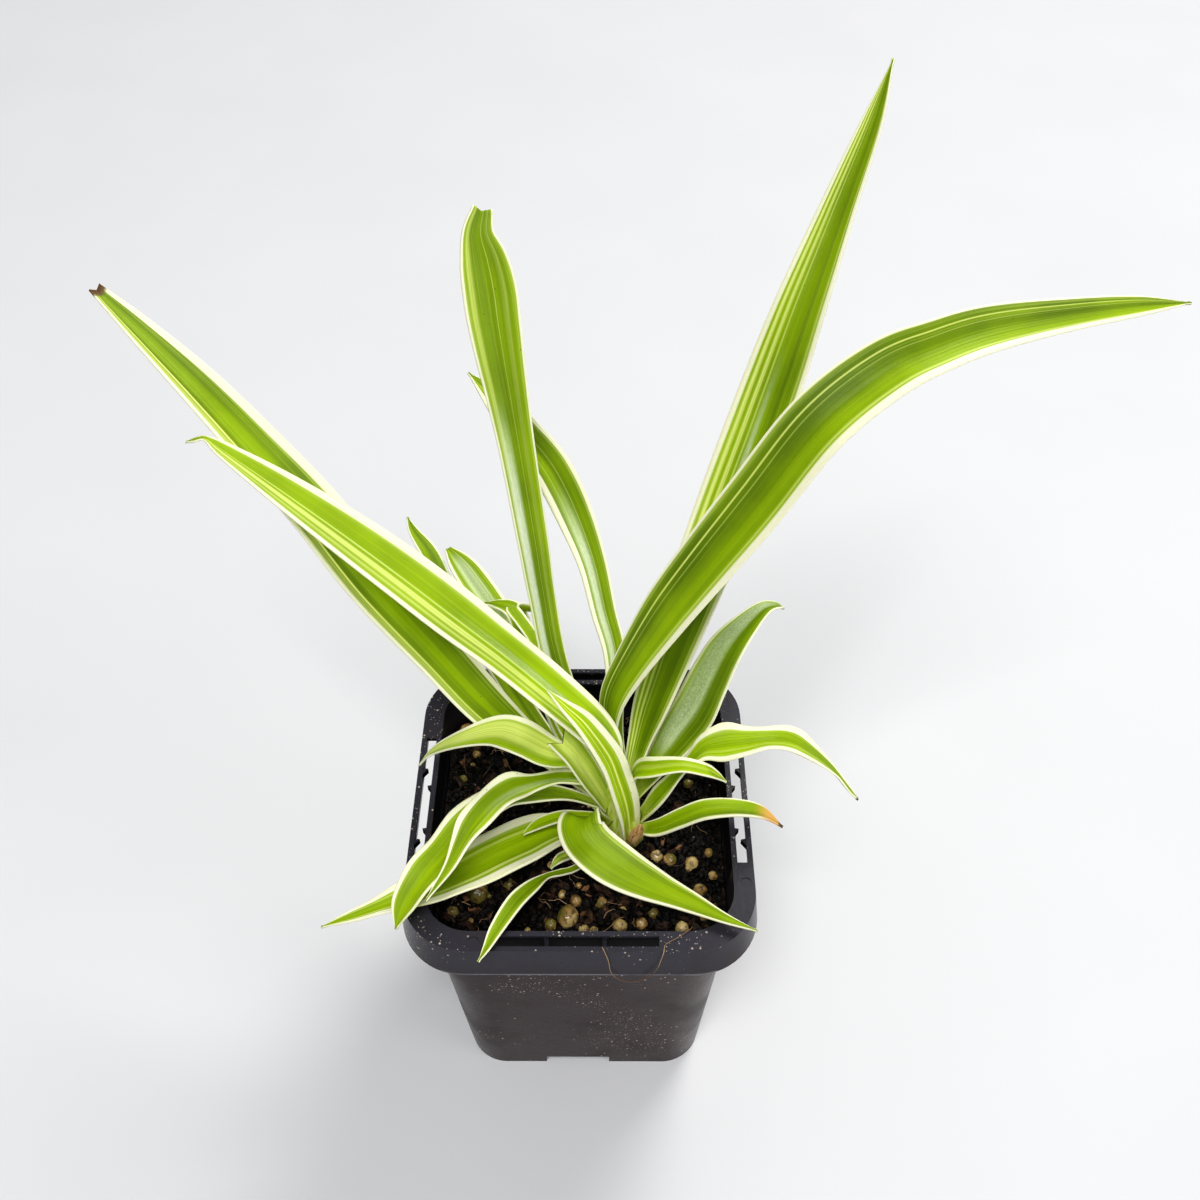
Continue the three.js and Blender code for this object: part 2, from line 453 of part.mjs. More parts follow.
// ---------------------------------------------------------------- leaves
// A closed blade: a grid of points across and along the upper face, the same grid lowered by
// the thickness, and both split into triangles alike.
function bladeGeometry({ heading, fold, wave = [0, 0, 0], notch = 0, rows }) {
  const spine = new THREE.CatmullRomCurve3(
    rows.map(([x, y, z]) => new THREE.Vector3(x, y, z)), false, 'catmullrom');
  const form = new THREE.CatmullRomCurve3(
    rows.map(([, , , width, roll]) => new THREE.Vector3(width, roll, 0)), false, 'catmullrom');
  const turn = THREE.MathUtils.degToRad(heading);
  const level = new THREE.Vector3(-Math.sin(turn), Math.cos(turn), 0);
  const rise = THREE.MathUtils.degToRad(fold);
  const stations = (rows.length - 1) * STEPS_PER_ROW;
  const across = BLADE_COLUMNS + 1;
  const upper = [];
  const lower = [];
  for (let i = 0; i <= stations; i += 1) {
    const t = i / stations;
    const centre = spine.getPoint(t);
    const tangent = spine.getTangent(t);
    const { x: width, y: roll } = form.getPoint(t);
    const half = Math.max(width, TIP_WIDTH) / 2;
    const side = level.clone().addScaledVector(tangent, -level.dot(tangent)).normalize();
    side.applyAxisAngle(tangent, THREE.MathUtils.degToRad(roll));
    const face = tangent.clone().cross(side);
    for (let j = 0; j < across; j += 1) {
      const v = 2 * j / BLADE_COLUMNS - 1;
      const out = Math.abs(v);
      const ripple = wave[0] * out * out * Math.sin(Math.PI * t)
        * Math.sin(2 * Math.PI * wave[1] * t + (v > 0 ? 0 : wave[2]));
      const lift = out ** CHANNEL_POWER * half * Math.sin(rise) + ripple;
      const point = centre.clone().addScaledVector(side, v * half * Math.cos(rise))
        .addScaledVector(face, lift).addScaledVector(tangent, notch * out * t ** 8);
      upper.push(point);
      lower.push(point.clone().addScaledVector(face, -BLADE_THICKNESS));
    }
  }
  const index = [];
  const under = upper.length;
  const quad = (a, b, c, d) => index.push(a, b, c, a, c, d);
  for (let i = 0; i < stations; i += 1) {
    const row = i * across;
    for (let j = 0; j < BLADE_COLUMNS; j += 1) {
      const a = row + j;
      const b = a + across;
      index.push(a, b, b + 1, a, b + 1, a + 1);
      index.push(under + a, under + b + 1, under + b, under + a, under + a + 1, under + b + 1);
    }
    const left = row;
    const right = row + BLADE_COLUMNS;
    quad(left, under + left, under + left + across, left + across);
    quad(right, right + across, under + right + across, under + right);
  }
  const last = stations * across;
  for (let j = 0; j < BLADE_COLUMNS; j += 1) {
    quad(j, j + 1, under + j + 1, under + j);
    quad(last + j, under + last + j, under + last + j + 1, last + j + 1);
  }
  const geometry = new THREE.BufferGeometry();
  const flat = [...upper, ...lower].flatMap((p) => [p.x, p.y, p.z]);
  geometry.setAttribute('position', new THREE.Float32BufferAttribute(flat, 3));
  geometry.setIndex(index);
  return geometry;
}

function makeCrown() {
  return solid(crownGeometry(0)).add(solid(bladeGeometry(SCALE_LEAF)));
}

// a blade stops short of the crown that it grows from
function makeLeaf(leaf, crownClearance) {
  return solid(bladeGeometry(leaf)).subtract(crownClearance);
}

// ---------------------------------------------------------------- the whole plant
const plant = new THREE.Group();
plant.name = 'potted_spider_plant';
const crownClearance = solid(crownGeometry(FIT_GAP));
plant.add(namedMesh('pot', makePot(), 0x23242a, 0.5));
plant.add(namedMesh('soil', makeSoil(crownClearance), 0x17120e, 0.95));
plant.add(namedMesh('crown', makeCrown(), 0xd5dca0, 0.6));
for (const [name, leaf] of Object.entries(LEAVES)) {
  plant.add(namedMesh(name, makeLeaf(leaf, crownClearance), 0x8fb81c, 0.45));
}

export default plant;
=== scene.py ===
"""Looks of a young variegated spider plant in a small square nursery pot.

Lengths are written in millimetres and turned into metres by MM. +Z is up, the viewer is at -Y.
"""
import math
import random

import bmesh
import bpy
from mathutils import Matrix, Quaternion, Vector, noise


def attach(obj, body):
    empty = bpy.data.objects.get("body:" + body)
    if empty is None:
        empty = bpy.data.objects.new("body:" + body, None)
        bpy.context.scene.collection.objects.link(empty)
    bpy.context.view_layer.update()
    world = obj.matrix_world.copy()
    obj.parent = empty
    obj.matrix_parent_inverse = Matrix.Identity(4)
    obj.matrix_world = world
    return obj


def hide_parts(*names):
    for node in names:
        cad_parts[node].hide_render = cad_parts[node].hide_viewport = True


MM = 0.001
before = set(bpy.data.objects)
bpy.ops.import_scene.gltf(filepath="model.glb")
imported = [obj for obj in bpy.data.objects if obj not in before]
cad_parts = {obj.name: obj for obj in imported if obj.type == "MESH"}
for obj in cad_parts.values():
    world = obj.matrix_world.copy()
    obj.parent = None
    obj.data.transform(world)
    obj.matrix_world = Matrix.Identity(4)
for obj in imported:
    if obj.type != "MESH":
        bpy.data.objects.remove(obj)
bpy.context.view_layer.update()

# ---------------- plant measurements
# heading is the direction, seen from above and in degrees from +X, that a blade lies square to
# from margin to margin. fold is how steeply its halves rise from the midrib, in degrees. Rows run
# from base to tip as x, y, z, width. roll turns the blade about its midrib at each row, in
# degrees. wave is the height and the number of the ripples in its margins, and how far one margin
# lags behind the other. notch is the depth of a cut end.
LEAVES = {
    "leaf_tall_right": dict(heading=56, fold=18, rows=[
        (12.9, -0.3, 98, 3.5), (16, 8, 106, 7), (20, 14, 118, 11), (30, 28, 143, 15),
        (39, 41, 164, 17), (48, 55, 187, 16), (54, 64, 204, 13.5), (61, 75, 221, 9.5),
        (68, 85, 238, 5.5), (72, 92, 250, 0)]),
    "leaf_long_right": dict(heading=27, fold=14,
        roll=(10, 15, 20, 20, 20, 20, 20, 20, 25, 30, 35, 35, 35, 35),
        rows=[
        (9.6, 0.6, 106, 3.5), (8, 6, 114.8, 6), (9, 6.4, 126.5, 8), (14, 7.5, 139.5, 10),
        (22, 10, 155, 13), (31, 14, 168, 14.5), (41, 19, 181, 15.5), (54, 26, 198, 15.5),
        (68, 33, 207, 14.5), (80, 38, 210, 12.5), (93, 44, 210.5, 11), (113, 53, 208, 8),
        (134, 64, 203, 5), (151, 73, 198, 0)]),
    "leaf_long_left_back": dict(heading=147, fold=20, notch=0.8, rows=[
        (7, 0.4, 88, 3), (-8, 6.5, 99, 6.5), (-24, 12, 113, 13), (-38, 21, 126, 15),
        (-54, 31, 142, 16.5), (-68, 42, 157, 16), (-82, 52, 169.5, 14.5), (-96, 61, 182.5, 12),
        (-110, 70, 193.5, 7.5), (-119.4, 76, 200.4, 3.3)]),
    "leaf_long_left_front": dict(heading=152, fold=16, rows=[
        (9.2, -2.4, 104.5, 4.5), (8, -2, 114.2, 9), (3, 0, 122.2, 12), (-8, 5, 131.2, 13.5),
        (-19, 10.6, 138.5, 14), (-31, 17, 145, 15.5), (-43, 24, 151, 15.5), (-57, 31.5, 158, 14),
        (-74, 39.6, 167, 10), (-87, 45, 174.5, 5), (-91.3, 46.9, 177, 1.6),
        (-94.2, 48, 175.8, 2.5), (-97.5, 49.2, 174.2, 0)]),
    "leaf_inner_left": dict(heading=145, fold=20, rows=[
        (13, -7, 84, 7.5), (12, -7, 96, 9), (10, -7, 107, 9), (8, -6, 115, 8.5), (5, -5, 122, 7.5),
        (1, -3, 128, 6), (-3.2, -0.8, 131.5, 3.4), (-7.4, 2, 134.5, 0)]),
    "leaf_cut_short": dict(heading=138, fold=22, notch=3.4, rows=[
        (7.4, -4.1, 92, 3.6), (5.2, -3.7, 98.5, 5.6), (2, -3, 106, 7.3), (-1.2, -1.2, 111.5, 7.6),
        (-4.2, 0.6, 114.5, 7.8)]),
    "leaf_left_arching": dict(heading=168, fold=16, rows=[
        (7.3, -0.9, 96, 3), (-1, 1.5, 105, 5), (-9, 0, 112, 10), (-15, -0.4, 117.5, 11.5),
        (-21, 1.6, 117.5, 10), (-30, 2.6, 113.5, 6.5), (-39, 5, 105, 3), (-44, 7, 96, 0)]),
    "leaf_left_upper": dict(heading=205, fold=16, wave=(0.9, 4, 1.7), rows=[
        (6.9, -1.2, 91.3, 3), (3, -0.2, 97, 3.8), (0.5, -1.5, 101.5, 4.2), (-6, -3, 104, 5),
        (-12, -6, 106.5, 6), (-17, -9.4, 108.5, 8.5), (-22, -13.7, 108.9, 9), (-26, -19, 108.4, 8),
        (-29, -24.4, 106.9, 5.5), (-32, -30.8, 105.3, 3), (-37, -37.8, 102.5, 0)]),
    "leaf_left_lower": dict(heading=212, fold=16, wave=(0.7, 4, 1.7), rows=[
        (6.8, -2.4, 89.8, 2.8), (-5, -2, 95.3, 5.5), (-16, -6, 101, 8), (-23, -10.4, 103.4, 9),
        (-29, -16, 102.1, 10), (-34, -23, 101.2, 10), (-39, -29.7, 99.9, 9.5),
        (-43, -36, 97.3, 7.5), (-45, -41, 94.3, 0)]),
    "leaf_left_low": dict(heading=205, fold=14, wave=(0.7, 4, 1.7), rows=[
        (6, -4.5, 82.2, 4), (-2, -5.5, 84.2, 7.5), (-8, -9, 88, 11), (-15, -14, 90, 14),
        (-22, -19, 92, 14), (-29, -24, 93, 13), (-36, -28, 93, 11), (-43, -31, 93.4, 8),
        (-50, -33, 91.6, 5.5), (-57, -35, 90, 3.5), (-65, -37, 88, 0)]),
    "leaf_tiny_left": dict(heading=200, fold=16, rows=[
        (6.6, -3.5, 87, 2), (0, -4.7, 89, 3), (-5, -5.9, 90.5, 3.5), (-10.1, -8.5, 91.6, 3.5),
        (-13.1, -10.9, 92.2, 2), (-15, -12.5, 92, 0)]),
    "leaf_front_curled": dict(heading=-75, fold=14, rows=[
        (7.4, -6.4, 87.6, 3.5), (4, -7.9, 91.6, 6.3), (1.2, -9, 94.6, 10), (0.2, -12.5, 95, 12.5),
        (3, -17, 93.5, 13), (10.5, -22.5, 91.5, 12.5), (19, -27.5, 91, 10), (28, -32.5, 92, 6.5),
        (36, -37.2, 93.2, 3), (44, -41, 94, 0)]),
    "leaf_front_left": dict(heading=235, fold=14, rows=[
        (9, -8, 80.8, 2.2), (-0.9, -17.4, 84, 2), (-4.7, -19.8, 85.5, 2.2), (-8.7, -21.9, 87, 1.9),
        (-12.4, -26.5, 89.5, 4), (-16.1, -32.2, 92, 4.6), (-20, -40.5, 94, 3.6),
        (-22.3, -45.8, 94, 1.8), (-24.2, -48.9, 93, 0)]),
    "leaf_front_tiny": dict(heading=225, fold=14, rows=[
        (7, -6.5, 80.3, 2.2), (-3, -12.3, 82, 3.3), (-6, -15.3, 84, 2.5), (-8, -17.3, 83, 0)]),
    "leaf_right_low": dict(heading=0, fold=16, rows=[
        (16, -4.4, 82, 3.2), (21, -6.6, 86, 5.5), (27, -7, 91, 6.5), (33, -7, 95, 6.5),
        (41, -7, 96, 5.5), (48, -7, 94, 4), (54, -8, 89, 0)]),
    "leaf_right_wavy": dict(heading=3, fold=16, wave=(1, 3.2, 3.1), rows=[
        (16.2, -2.2, 84.5, 4), (20.2, -3.6, 95, 6.5), (24, -3.3, 102.3, 6), (28, -2.3, 109.3, 6),
        (32, -1, 114, 7.5), (37, -1, 116, 11), (42, -1, 117, 10.5), (48, 0, 117, 8),
        (54, 1, 115, 7.5), (59, 1, 111, 7), (66, 1, 103, 5.5), (71, 0, 96, 3.5), (75, 0, 90, 0)]),
    "leaf_right_twisted": dict(heading=-3, fold=12, rows=[
        (13.2, -1.2, 101, 3.5), (15.3, -2.2, 107, 5.5), (19, -5, 111.6, 6), (26, -6.6, 115, 4.5),
        (32, -6.9, 113.4, 4), (35, -7.1, 111.5, 2.5), (37.6, -8, 109.8, 0)]),
    "leaf_right_broad": dict(heading=38, fold=20, rows=[
        (13.8, 0, 91, 4), (21, 5, 100, 8), (26, 8, 107, 12), (31, 11, 115, 14),
        (34.5, 14, 124, 13), (38, 17, 132, 11), (42, 20, 137, 8), (47, 24, 140, 4.5),
        (51, 27, 138, 2.5), (53, 29, 135, 0)]),
    "leaf_tall_left": dict(heading=112, fold=22, notch=0.8, rows=[
        (8.8, 0.8, 98, 3.5), (1, 9.5, 108, 4.5), (-6, 14, 130, 6.5), (-9, 20, 148, 7),
        (-11, 25, 164, 8), (-14, 33, 185, 9), (-16, 38, 198, 10.5), (-18, 43, 211, 12.5),
        (-19, 47, 218, 13), (-20, 50, 224, 11.5), (-21, 53, 229, 7.5), (-20, 56, 233, 4.4)]),
    "leaf_back_arching": dict(heading=118, fold=18, rows=[
        (12, 0.7, 94.5, 3.5), (9, 10, 106, 5), (9, 20, 125, 6), (6, 27, 136, 7), (3, 34, 147, 8),
        (-1.5, 40, 158, 10), (-7, 45, 168.5, 10.5), (-14, 50, 176, 9.5), (-20, 55, 182, 7),
        (-27, 60, 187, 0)]),
    "leaf_back_left_far": dict(heading=126, fold=18, rows=[
        (7, -1, 84, 4), (-11, 22, 89, 6), (-25, 38.5, 101.5, 6.5), (-37, 52.5, 111.5, 5.5),
        (-44, 64, 119, 5.5), (-49, 70, 123, 3), (-51, 74, 125, 0)]),
    "leaf_back_left_broad": dict(heading=122, fold=18, rows=[
        (8.8, 1.2, 85.6, 3.5), (-3, 15, 94, 6), (-11, 28, 106, 7), (-22, 41, 115.5, 8.5),
        (-30, 52, 119.5, 9), (-35, 60, 120, 7), (-39, 66, 120, 2)]),
    "leaf_back_left_short": dict(heading=120, fold=18, rows=[
        (9, 0.9, 90, 2.8), (-2, 12, 99, 4), (-9, 24, 107, 5), (-15, 33, 117.5, 6),
        (-18, 38, 123.3, 5.5), (-23, 40.5, 123.8, 3.5), (-28, 43.2, 121.3, 0)]),
    "leaf_back_left_curled": dict(heading=115, fold=18, rows=[
        (8.2, 0.2, 93.5, 2.6), (-2, 12, 105, 3.5), (-8, 20, 119, 3.5), (-12, 26.6, 124.7, 3.5),
        (-16, 31.6, 127.7, 3.5), (-18, 34.6, 128.7, 3.5), (-14, 38, 124.8, 3),
        (-10, 42, 119.5, 0)]),
}
# How each blade is coloured. margins are the shares of its two halves that are cream, at the
# base and at the tip. light is how yellow the green is on the two halves. lines are pale stripes
# as place across (-1 to 1), half width and strength. ribs is how strongly the veins show.
# sheen_patch is a painted sheen, a pale reflection painted into the colour, given as place
# across, half width, start and end along, and strength. brown and golden are how much of the
# tip has dried or turned.
MARKINGS = {
    "leaf_tall_right": dict(margins=((0.1, 0.12), (0.16, 0.2)), light=(0, 0.25), lines=[
        (0.68, 0.06, 1), (0.46, 0.06, 0.9), (0.26, 0.03, 0.5), (-0.76, 0.03, 0.6)],
        sheen_patch=(0.1, 0.1, 0.3, 0.62, 0.7)),
    "leaf_long_right": dict(margins=((0.16, 0.05), (0.3, 0.1)), light=(0.4, 0), lines=[
        (0.6, 0.03, 0.7), (-0.66, 0.04, 0.5), (0.4, 0.02, 0.25)]),
    "leaf_long_left_back": dict(margins=((0.08, 0.1), (0.4, 0.14)), light=(0.1, 0.1),
        brown=0.016, lines=[(0.6, 0.05, 1), (0.76, 0.1, 0.45)]),
    "leaf_long_left_front": dict(margins=((0.2, 0.12), (0.32, 0.18)), light=(0.75, 0.5), lines=[
        (0.02, 0.03, 0.5), (0.34, 0.13, 0.75), (0.62, 0.07, 0.5)],
        sheen_patch=(-0.1, 0.2, 0.12, 0.45, 0.4)),
    "leaf_inner_left": dict(margins=((0.42, 0.3), (0.42, 0.3)), light=(0.8, 0.9), lines=[
        (-0.12, 0.06, 1), (0.26, 0.05, 0.6)]),
    "leaf_cut_short": dict(margins=((0.08, 0.08), (0.1, 0.12)), light=(1, 1), brown=0.004,
        lines=[(0.1, 0.55, 0.85), (-0.6, 0.12, 0.4)]),
    "leaf_left_arching": dict(margins=((0.22, 0.06), (0.24, 0.06)), light=(1, 1), ribs=0.4,
        lines=[(-0.2, 0.6, 0.75)]),
    "leaf_left_upper": dict(margins=((0.3, 0.16), (0.36, 0.2)), light=(0.3, 0.6), lines=[
        (0.5, 0.06, 0.3)], sheen_patch=(0.3, 0.4, 0.12, 0.7, 0.4)),
    "leaf_left_lower": dict(margins=((0.24, 0.1), (0.24, 0.14)), light=(0.5, 0.6)),
    "leaf_left_low": dict(margins=((0.26, 0.3), (0.4, 0.34)), light=(0.6, 0.6), lines=[
        (0.5, 0.06, 0.8), (-0.45, 0.05, 0.6)]),
    "leaf_tiny_left": dict(margins=((0.2, 0.16), (0.2, 0.16)), light=(0.7, 0.7)),
    "leaf_front_curled": dict(margins=((0.13, 0.1), (0.16, 0.18)), light=(0.3, 0.3), lines=[
        (0.76, 0.025, 0.5)]),
    "leaf_front_left": dict(margins=((0.2, 0.14), (0.3, 0.2)), light=(0.4, 0.4)),
    "leaf_front_tiny": dict(margins=((0.3, 0.3), (0.3, 0.3)), light=(1, 1), ribs=0.5, lines=[
        (0, 0.4, 0.4)]),
    "leaf_right_low": dict(margins=((0.26, 0.12), (0.2, 0.12)), light=(0.2, 0.25), golden=0.2,
        brown=0.03),
    "leaf_right_wavy": dict(margins=((0.24, 0.2), (0.3, 0.44)), light=(0.6, 0.45), brown=0.012,
        ribs=0.3, lines=[(-0.4, 0.08, 0.3)]),
    "leaf_right_twisted": dict(margins=((0.1, 0.36), (0.1, 0.36)), light=(1, 1), ribs=0.3,
        lines=[(0.1, 0.2, 0.25)]),
    "leaf_right_broad": dict(margins=((0.07, 0.08), (0.1, 0.14)), light=(0.15, 0.3), brown=0.012,
        sheen_patch=(0.4, 0.5, 0.1, 0.97, 0.8)),
    "leaf_tall_left": dict(margins=((0.06, 0.07), (0.07, 0.08)), light=(0.15, 0.1), lines=[
        (0.66, 0.12, 0.5), (-0.2, 0.02, 0.4), (-0.55, 0.1, 0.2)],
        sheen_patch=(0.5, 0.4, 0.06, 0.56, 1)),
    "leaf_back_arching": dict(margins=((0.12, 0.3), (0.2, 0.36)), light=(0.2, 0.2), lines=[
        (0.3, 0.03, 0.4), (-0.2, 0.03, 0.4)], sheen_patch=(0.2, 0.45, 0.12, 0.65, 0.75)),
    "leaf_back_left_far": dict(margins=((0.14, 0.14), (0.2, 0.2)), light=(0.1, 0.1)),
    "leaf_back_left_broad": dict(margins=((0.14, 0.14), (0.16, 0.2)), light=(0.2, 0.3), lines=[
        (0.35, 0.04, 0.4), (-0.4, 0.04, 0.4)], sheen_patch=(0, 0.6, 0.1, 0.98, 0.6)),
    "leaf_back_left_short": dict(margins=((0.12, 0.12), (0.12, 0.12)), light=(0.1, 0.1),
        brown=0.05),
    "leaf_back_left_curled": dict(margins=((0.3, 0.16), (0.3, 0.16)), light=(0.3, 0.3)),
}
# how blunt a tip is, the sunken midrib and how a blade's halves curve up
BLUNT_TIP, KEEL_DEPTH, KEEL_REACH, CHANNEL_POWER = 0.5, 0.12, 0.07, 1.3
# the papery scale at the foot of the crown
SCALE_LEAF = dict(heading=-70, fold=30, rows=[
    (13.4, -5.8, 78.8, 3.6), (14.3, -9.8, 82, 4.8), (14.8, -11, 86.5, 5), (15.4, -10.8, 90.5, 3.6),
    (15.9, -10.1, 93.2, 0.8)])

# the crown from its foot to its top: height, radius, axis x, axis y
CROWN_ROWS = [
    (72, 5.8, 11.4, -3.2), (79, 6.0, 11.2, -3.0), (84, 5.4, 11.0, -2.8), (90, 4.4, 10.8, -2.5),
    (97, 3.5, 10.5, -2.0), (104, 2.7, 10.2, -1.4), (110, 1.8, 10.0, -0.9), (113, 0.3, 9.9, -0.7)]

# fertiliser prills: x, y, radius
PRILLS = [
    (-34.3, 31, 2.2), (-27.1, -22.3, 3.1), (24.1, -11.9, 1.9), (29.9, -13.5, 1.9),
    (31.7, -21.3, 2.1), (10.4, -32.1, 2.1), (16.1, -31.5, 1.8), (26.5, -32.4, 1.8),
    (-4.8, -22.6, 1.3), (-1.1, -24.9, 1.8), (5.7, -25.2, 1.6), (-3.1, -29.6, 3.1),
    (-7.6, -32.2, 1.8), (19.3, -28.1, 1.6), (20.4, -11.2, 1.9), (35.4, -17.1, 1.3),
    (1.1, -32.8, 1.5), (-19, -19.9, 1.6), (-33.3, -27.6, 1.6), (-34, 14, 1.3),
    (-22, 30, 1.6), (18, 28, 1.8), (30, 12, 1.5), (-8, 33, 1.7), (30, 31, 1.6)]

# the root fibre that hangs over the front of the rim
RIM_FIBRE = [
    (28.5, -37.6, 89.8), (27.7, -39.3, 91.2), (24.6, -41.4, 91), (21.6, -43.2, 90.9),
    (21, -45.4, 90.8), (20.3, -46.2, 88), (19.5, -46.7, 84.8), (17.6, -46.9, 81.2),
    (15.1, -46.9, 78.9), (12.6, -46.9, 78.3), (9.9, -46.9, 79.8), (8.1, -46.7, 83),
    (7.4, -46, 88), (6.3, -44.8, 90.9), (5.9, -44, 91)]

# pot
POT_HEIGHT, RIM_WIDTH, RIM_CORNER = 90.7, 90, 17
MOUTH_WIDTH, MOUTH_CORNER, BASE_WIDTH, WALL = 79, 12, 69.7, 1.3
FLOOR_BOTTOM, FLOOR_TOP, SKIRT_DEPTH, SKIRT_FLARE, RIM_PLATE = 3, 4.4, 10.4, 2.3, 1.6
BODY_TOP = MOUTH_WIDTH + 2 * WALL
SKIRT_FOOT = POT_HEIGHT - SKIRT_DEPTH
EDGE_ROUNDING = 0.4
# how far a cut starts beyond the surface that it opens
OVERCUT = 1

# label slots in the rim, with ribs in the front and back ones and teeth in the side ones.
# TOOTH_POINT is how far a tooth's point lies from its middle, along the slot.
SLOT_LENGTH, SLOT_INSET, SLOT_WIDTH = 40, 1.35, 2.75
RIB_MIDDLE, RIB_REACH = -0.75, 7.25
RIB_THICKNESS, RIB_DEPTH, RIB_HEIGHT, RIB_OUT, RIB_CENTRE = 0.8, 4, 5, 42.2, 85
TOOTH_LENGTH, TOOTH_DEPTH, TOOTH_POINT = 3, 1.3, 1.1
TOOTH_BOTTOM, TOOTH_TOP = 88.2, POT_HEIGHT - 0.5
OUTER_TEETH, INNER_TEETH = (8.6, -13.9), (3, -10.6)

# round marks where the mould pushed the rim out
MARK_PLACE, MARK_RADIUS, MARK_DEPTH = (42.7, -26), 1.6, 0.22

# foot
NOTCH_WIDTH, NOTCH_HEIGHT, NOTCH_SHIFT = 19, 4, -1.9
PAD_RADIUS, DRAIN_RADIUS, DRAIN_RING = 9, 3.5, 20

# potting mix
SOIL_LEVEL, SOIL_GAP = 78.4, 0.3
CROWN_PLACE, CROWN_CLEARANCE = (11, -3), 6.8
CRUMB_COUNT, BARK_COUNT, SMALL_PRILL_COUNT = 3600, 190, 26
FIBRE_COUNT, FIBRE_EDGE = 120, 36

# camera: its place, its turns about x, y and z in degrees, and its lens and sensor
CAMERA_PLACE = (7.807, -188.835, 372.637)
CAMERA_TURNS = (42.862, 0.346, 0.286)
LENS, SENSOR_WIDTH = 37.19, 36


# ---------------- camera, light and floor
def place_camera():
    data = bpy.data.cameras.new("camera")
    data.sensor_width = SENSOR_WIDTH
    data.lens = LENS
    data.clip_start = 0.01
    camera = bpy.data.objects.new("camera", data)
    bpy.context.scene.collection.objects.link(camera)
    camera.location = Vector(CAMERA_PLACE) * MM
    camera.rotation_euler = [math.radians(turn) for turn in CAMERA_TURNS]
    bpy.context.scene.camera = camera


def area_light(name, place, target, size, power, colour):
    """A round lamp. Its places and size are in metres."""
    data = bpy.data.lights.new(name, "AREA")
    data.shape = "DISK"
    data.size = size
    data.energy = power
    data.color = colour
    lamp = bpy.data.objects.new(name, data)
    lamp.location = place
    aim = Vector(target) - Vector(place)
    lamp.rotation_euler = aim.to_track_quat("-Z", "Y").to_euler()
    bpy.context.scene.collection.objects.link(lamp)


def light_scene():
    """Soft daylight from two windows overhead and a weaker one at the right."""
    scene = bpy.context.scene
    scene.view_settings.view_transform = "Standard"
    scene.view_settings.look = "Medium High Contrast"
    world = bpy.data.worlds.new("studio")
    world.use_nodes = True
    backdrop = world.node_tree.nodes["Background"].inputs
    backdrop["Color"].default_value = (0.92, 0.95, 1, 1)
    backdrop["Strength"].default_value = 0.26
    scene.world = world
    plant = (0, 0, 0.1)
    area_light("window_behind", (1, 1.5, 2.3), plant, 1.2, 40, (1, 0.99, 0.97))
    area_light("window_above", (-0.3, -1.3, 2.8), plant, 1.2, 50, (1, 1, 1))
    area_light("window_right", (2.5, -1.1, 0.75), plant, 1.5, 20, (0.97, 0.98, 1))


# ---------------- shader maths
def add_node(tree, kind, settings=None, output=0, **inputs):
    """Adds a node. An input goes by its name, or by its number as in0, in1 and so on."""
    made = tree.nodes.new(kind)
    for key, value in (settings or {}).items():
        setattr(made, key, value)
    for name, value in inputs.items():
        number = name[2:]
        slot = made.inputs[int(number) if number.isdigit() else name.replace("_", " ")]
        if isinstance(value, Wire):
            tree.links.new(value.socket, slot)
        else:
            slot.default_value = value
    return Wire(tree, made.outputs[output])


class Wire:
    """A node socket that can be used in Python expressions."""

    def __init__(self, tree, socket):
        self.tree = tree
        self.socket = socket

    def maths(self, operation, *values):
        inputs = {f"in{i}": value for i, value in enumerate(values)}
        return add_node(self.tree, "ShaderNodeMath", {"operation": operation}, **inputs)

    def __add__(self, other):
        return self.maths("ADD", self, other)

    __radd__ = __add__

    def __mul__(self, other):
        return self.maths("MULTIPLY", self, other)

    __rmul__ = __mul__

    def __sub__(self, other):
        return self.maths("SUBTRACT", self, other)

    def __rsub__(self, other):
        return self.maths("SUBTRACT", other, self)

    def abs(self):
        return self.maths("ABSOLUTE", self)

    def sin(self):
        return self.maths("SINE", self)

    def largest(self, other):
        return self.maths("MAXIMUM", self, other)

    def smallest(self, other):
        return self.maths("MINIMUM", self, other)

    def clamp(self):
        made = self.maths("ADD", self, 0.0)
        made.socket.node.use_clamp = True
        return made

    def between(self, low, high):
        """0 below low, 1 above high, smooth between."""
        return add_node(self.tree, "ShaderNodeMapRange", {"interpolation_type": "SMOOTHSTEP"},
                        output="Result", Value=self, From_Min=low, From_Max=high)


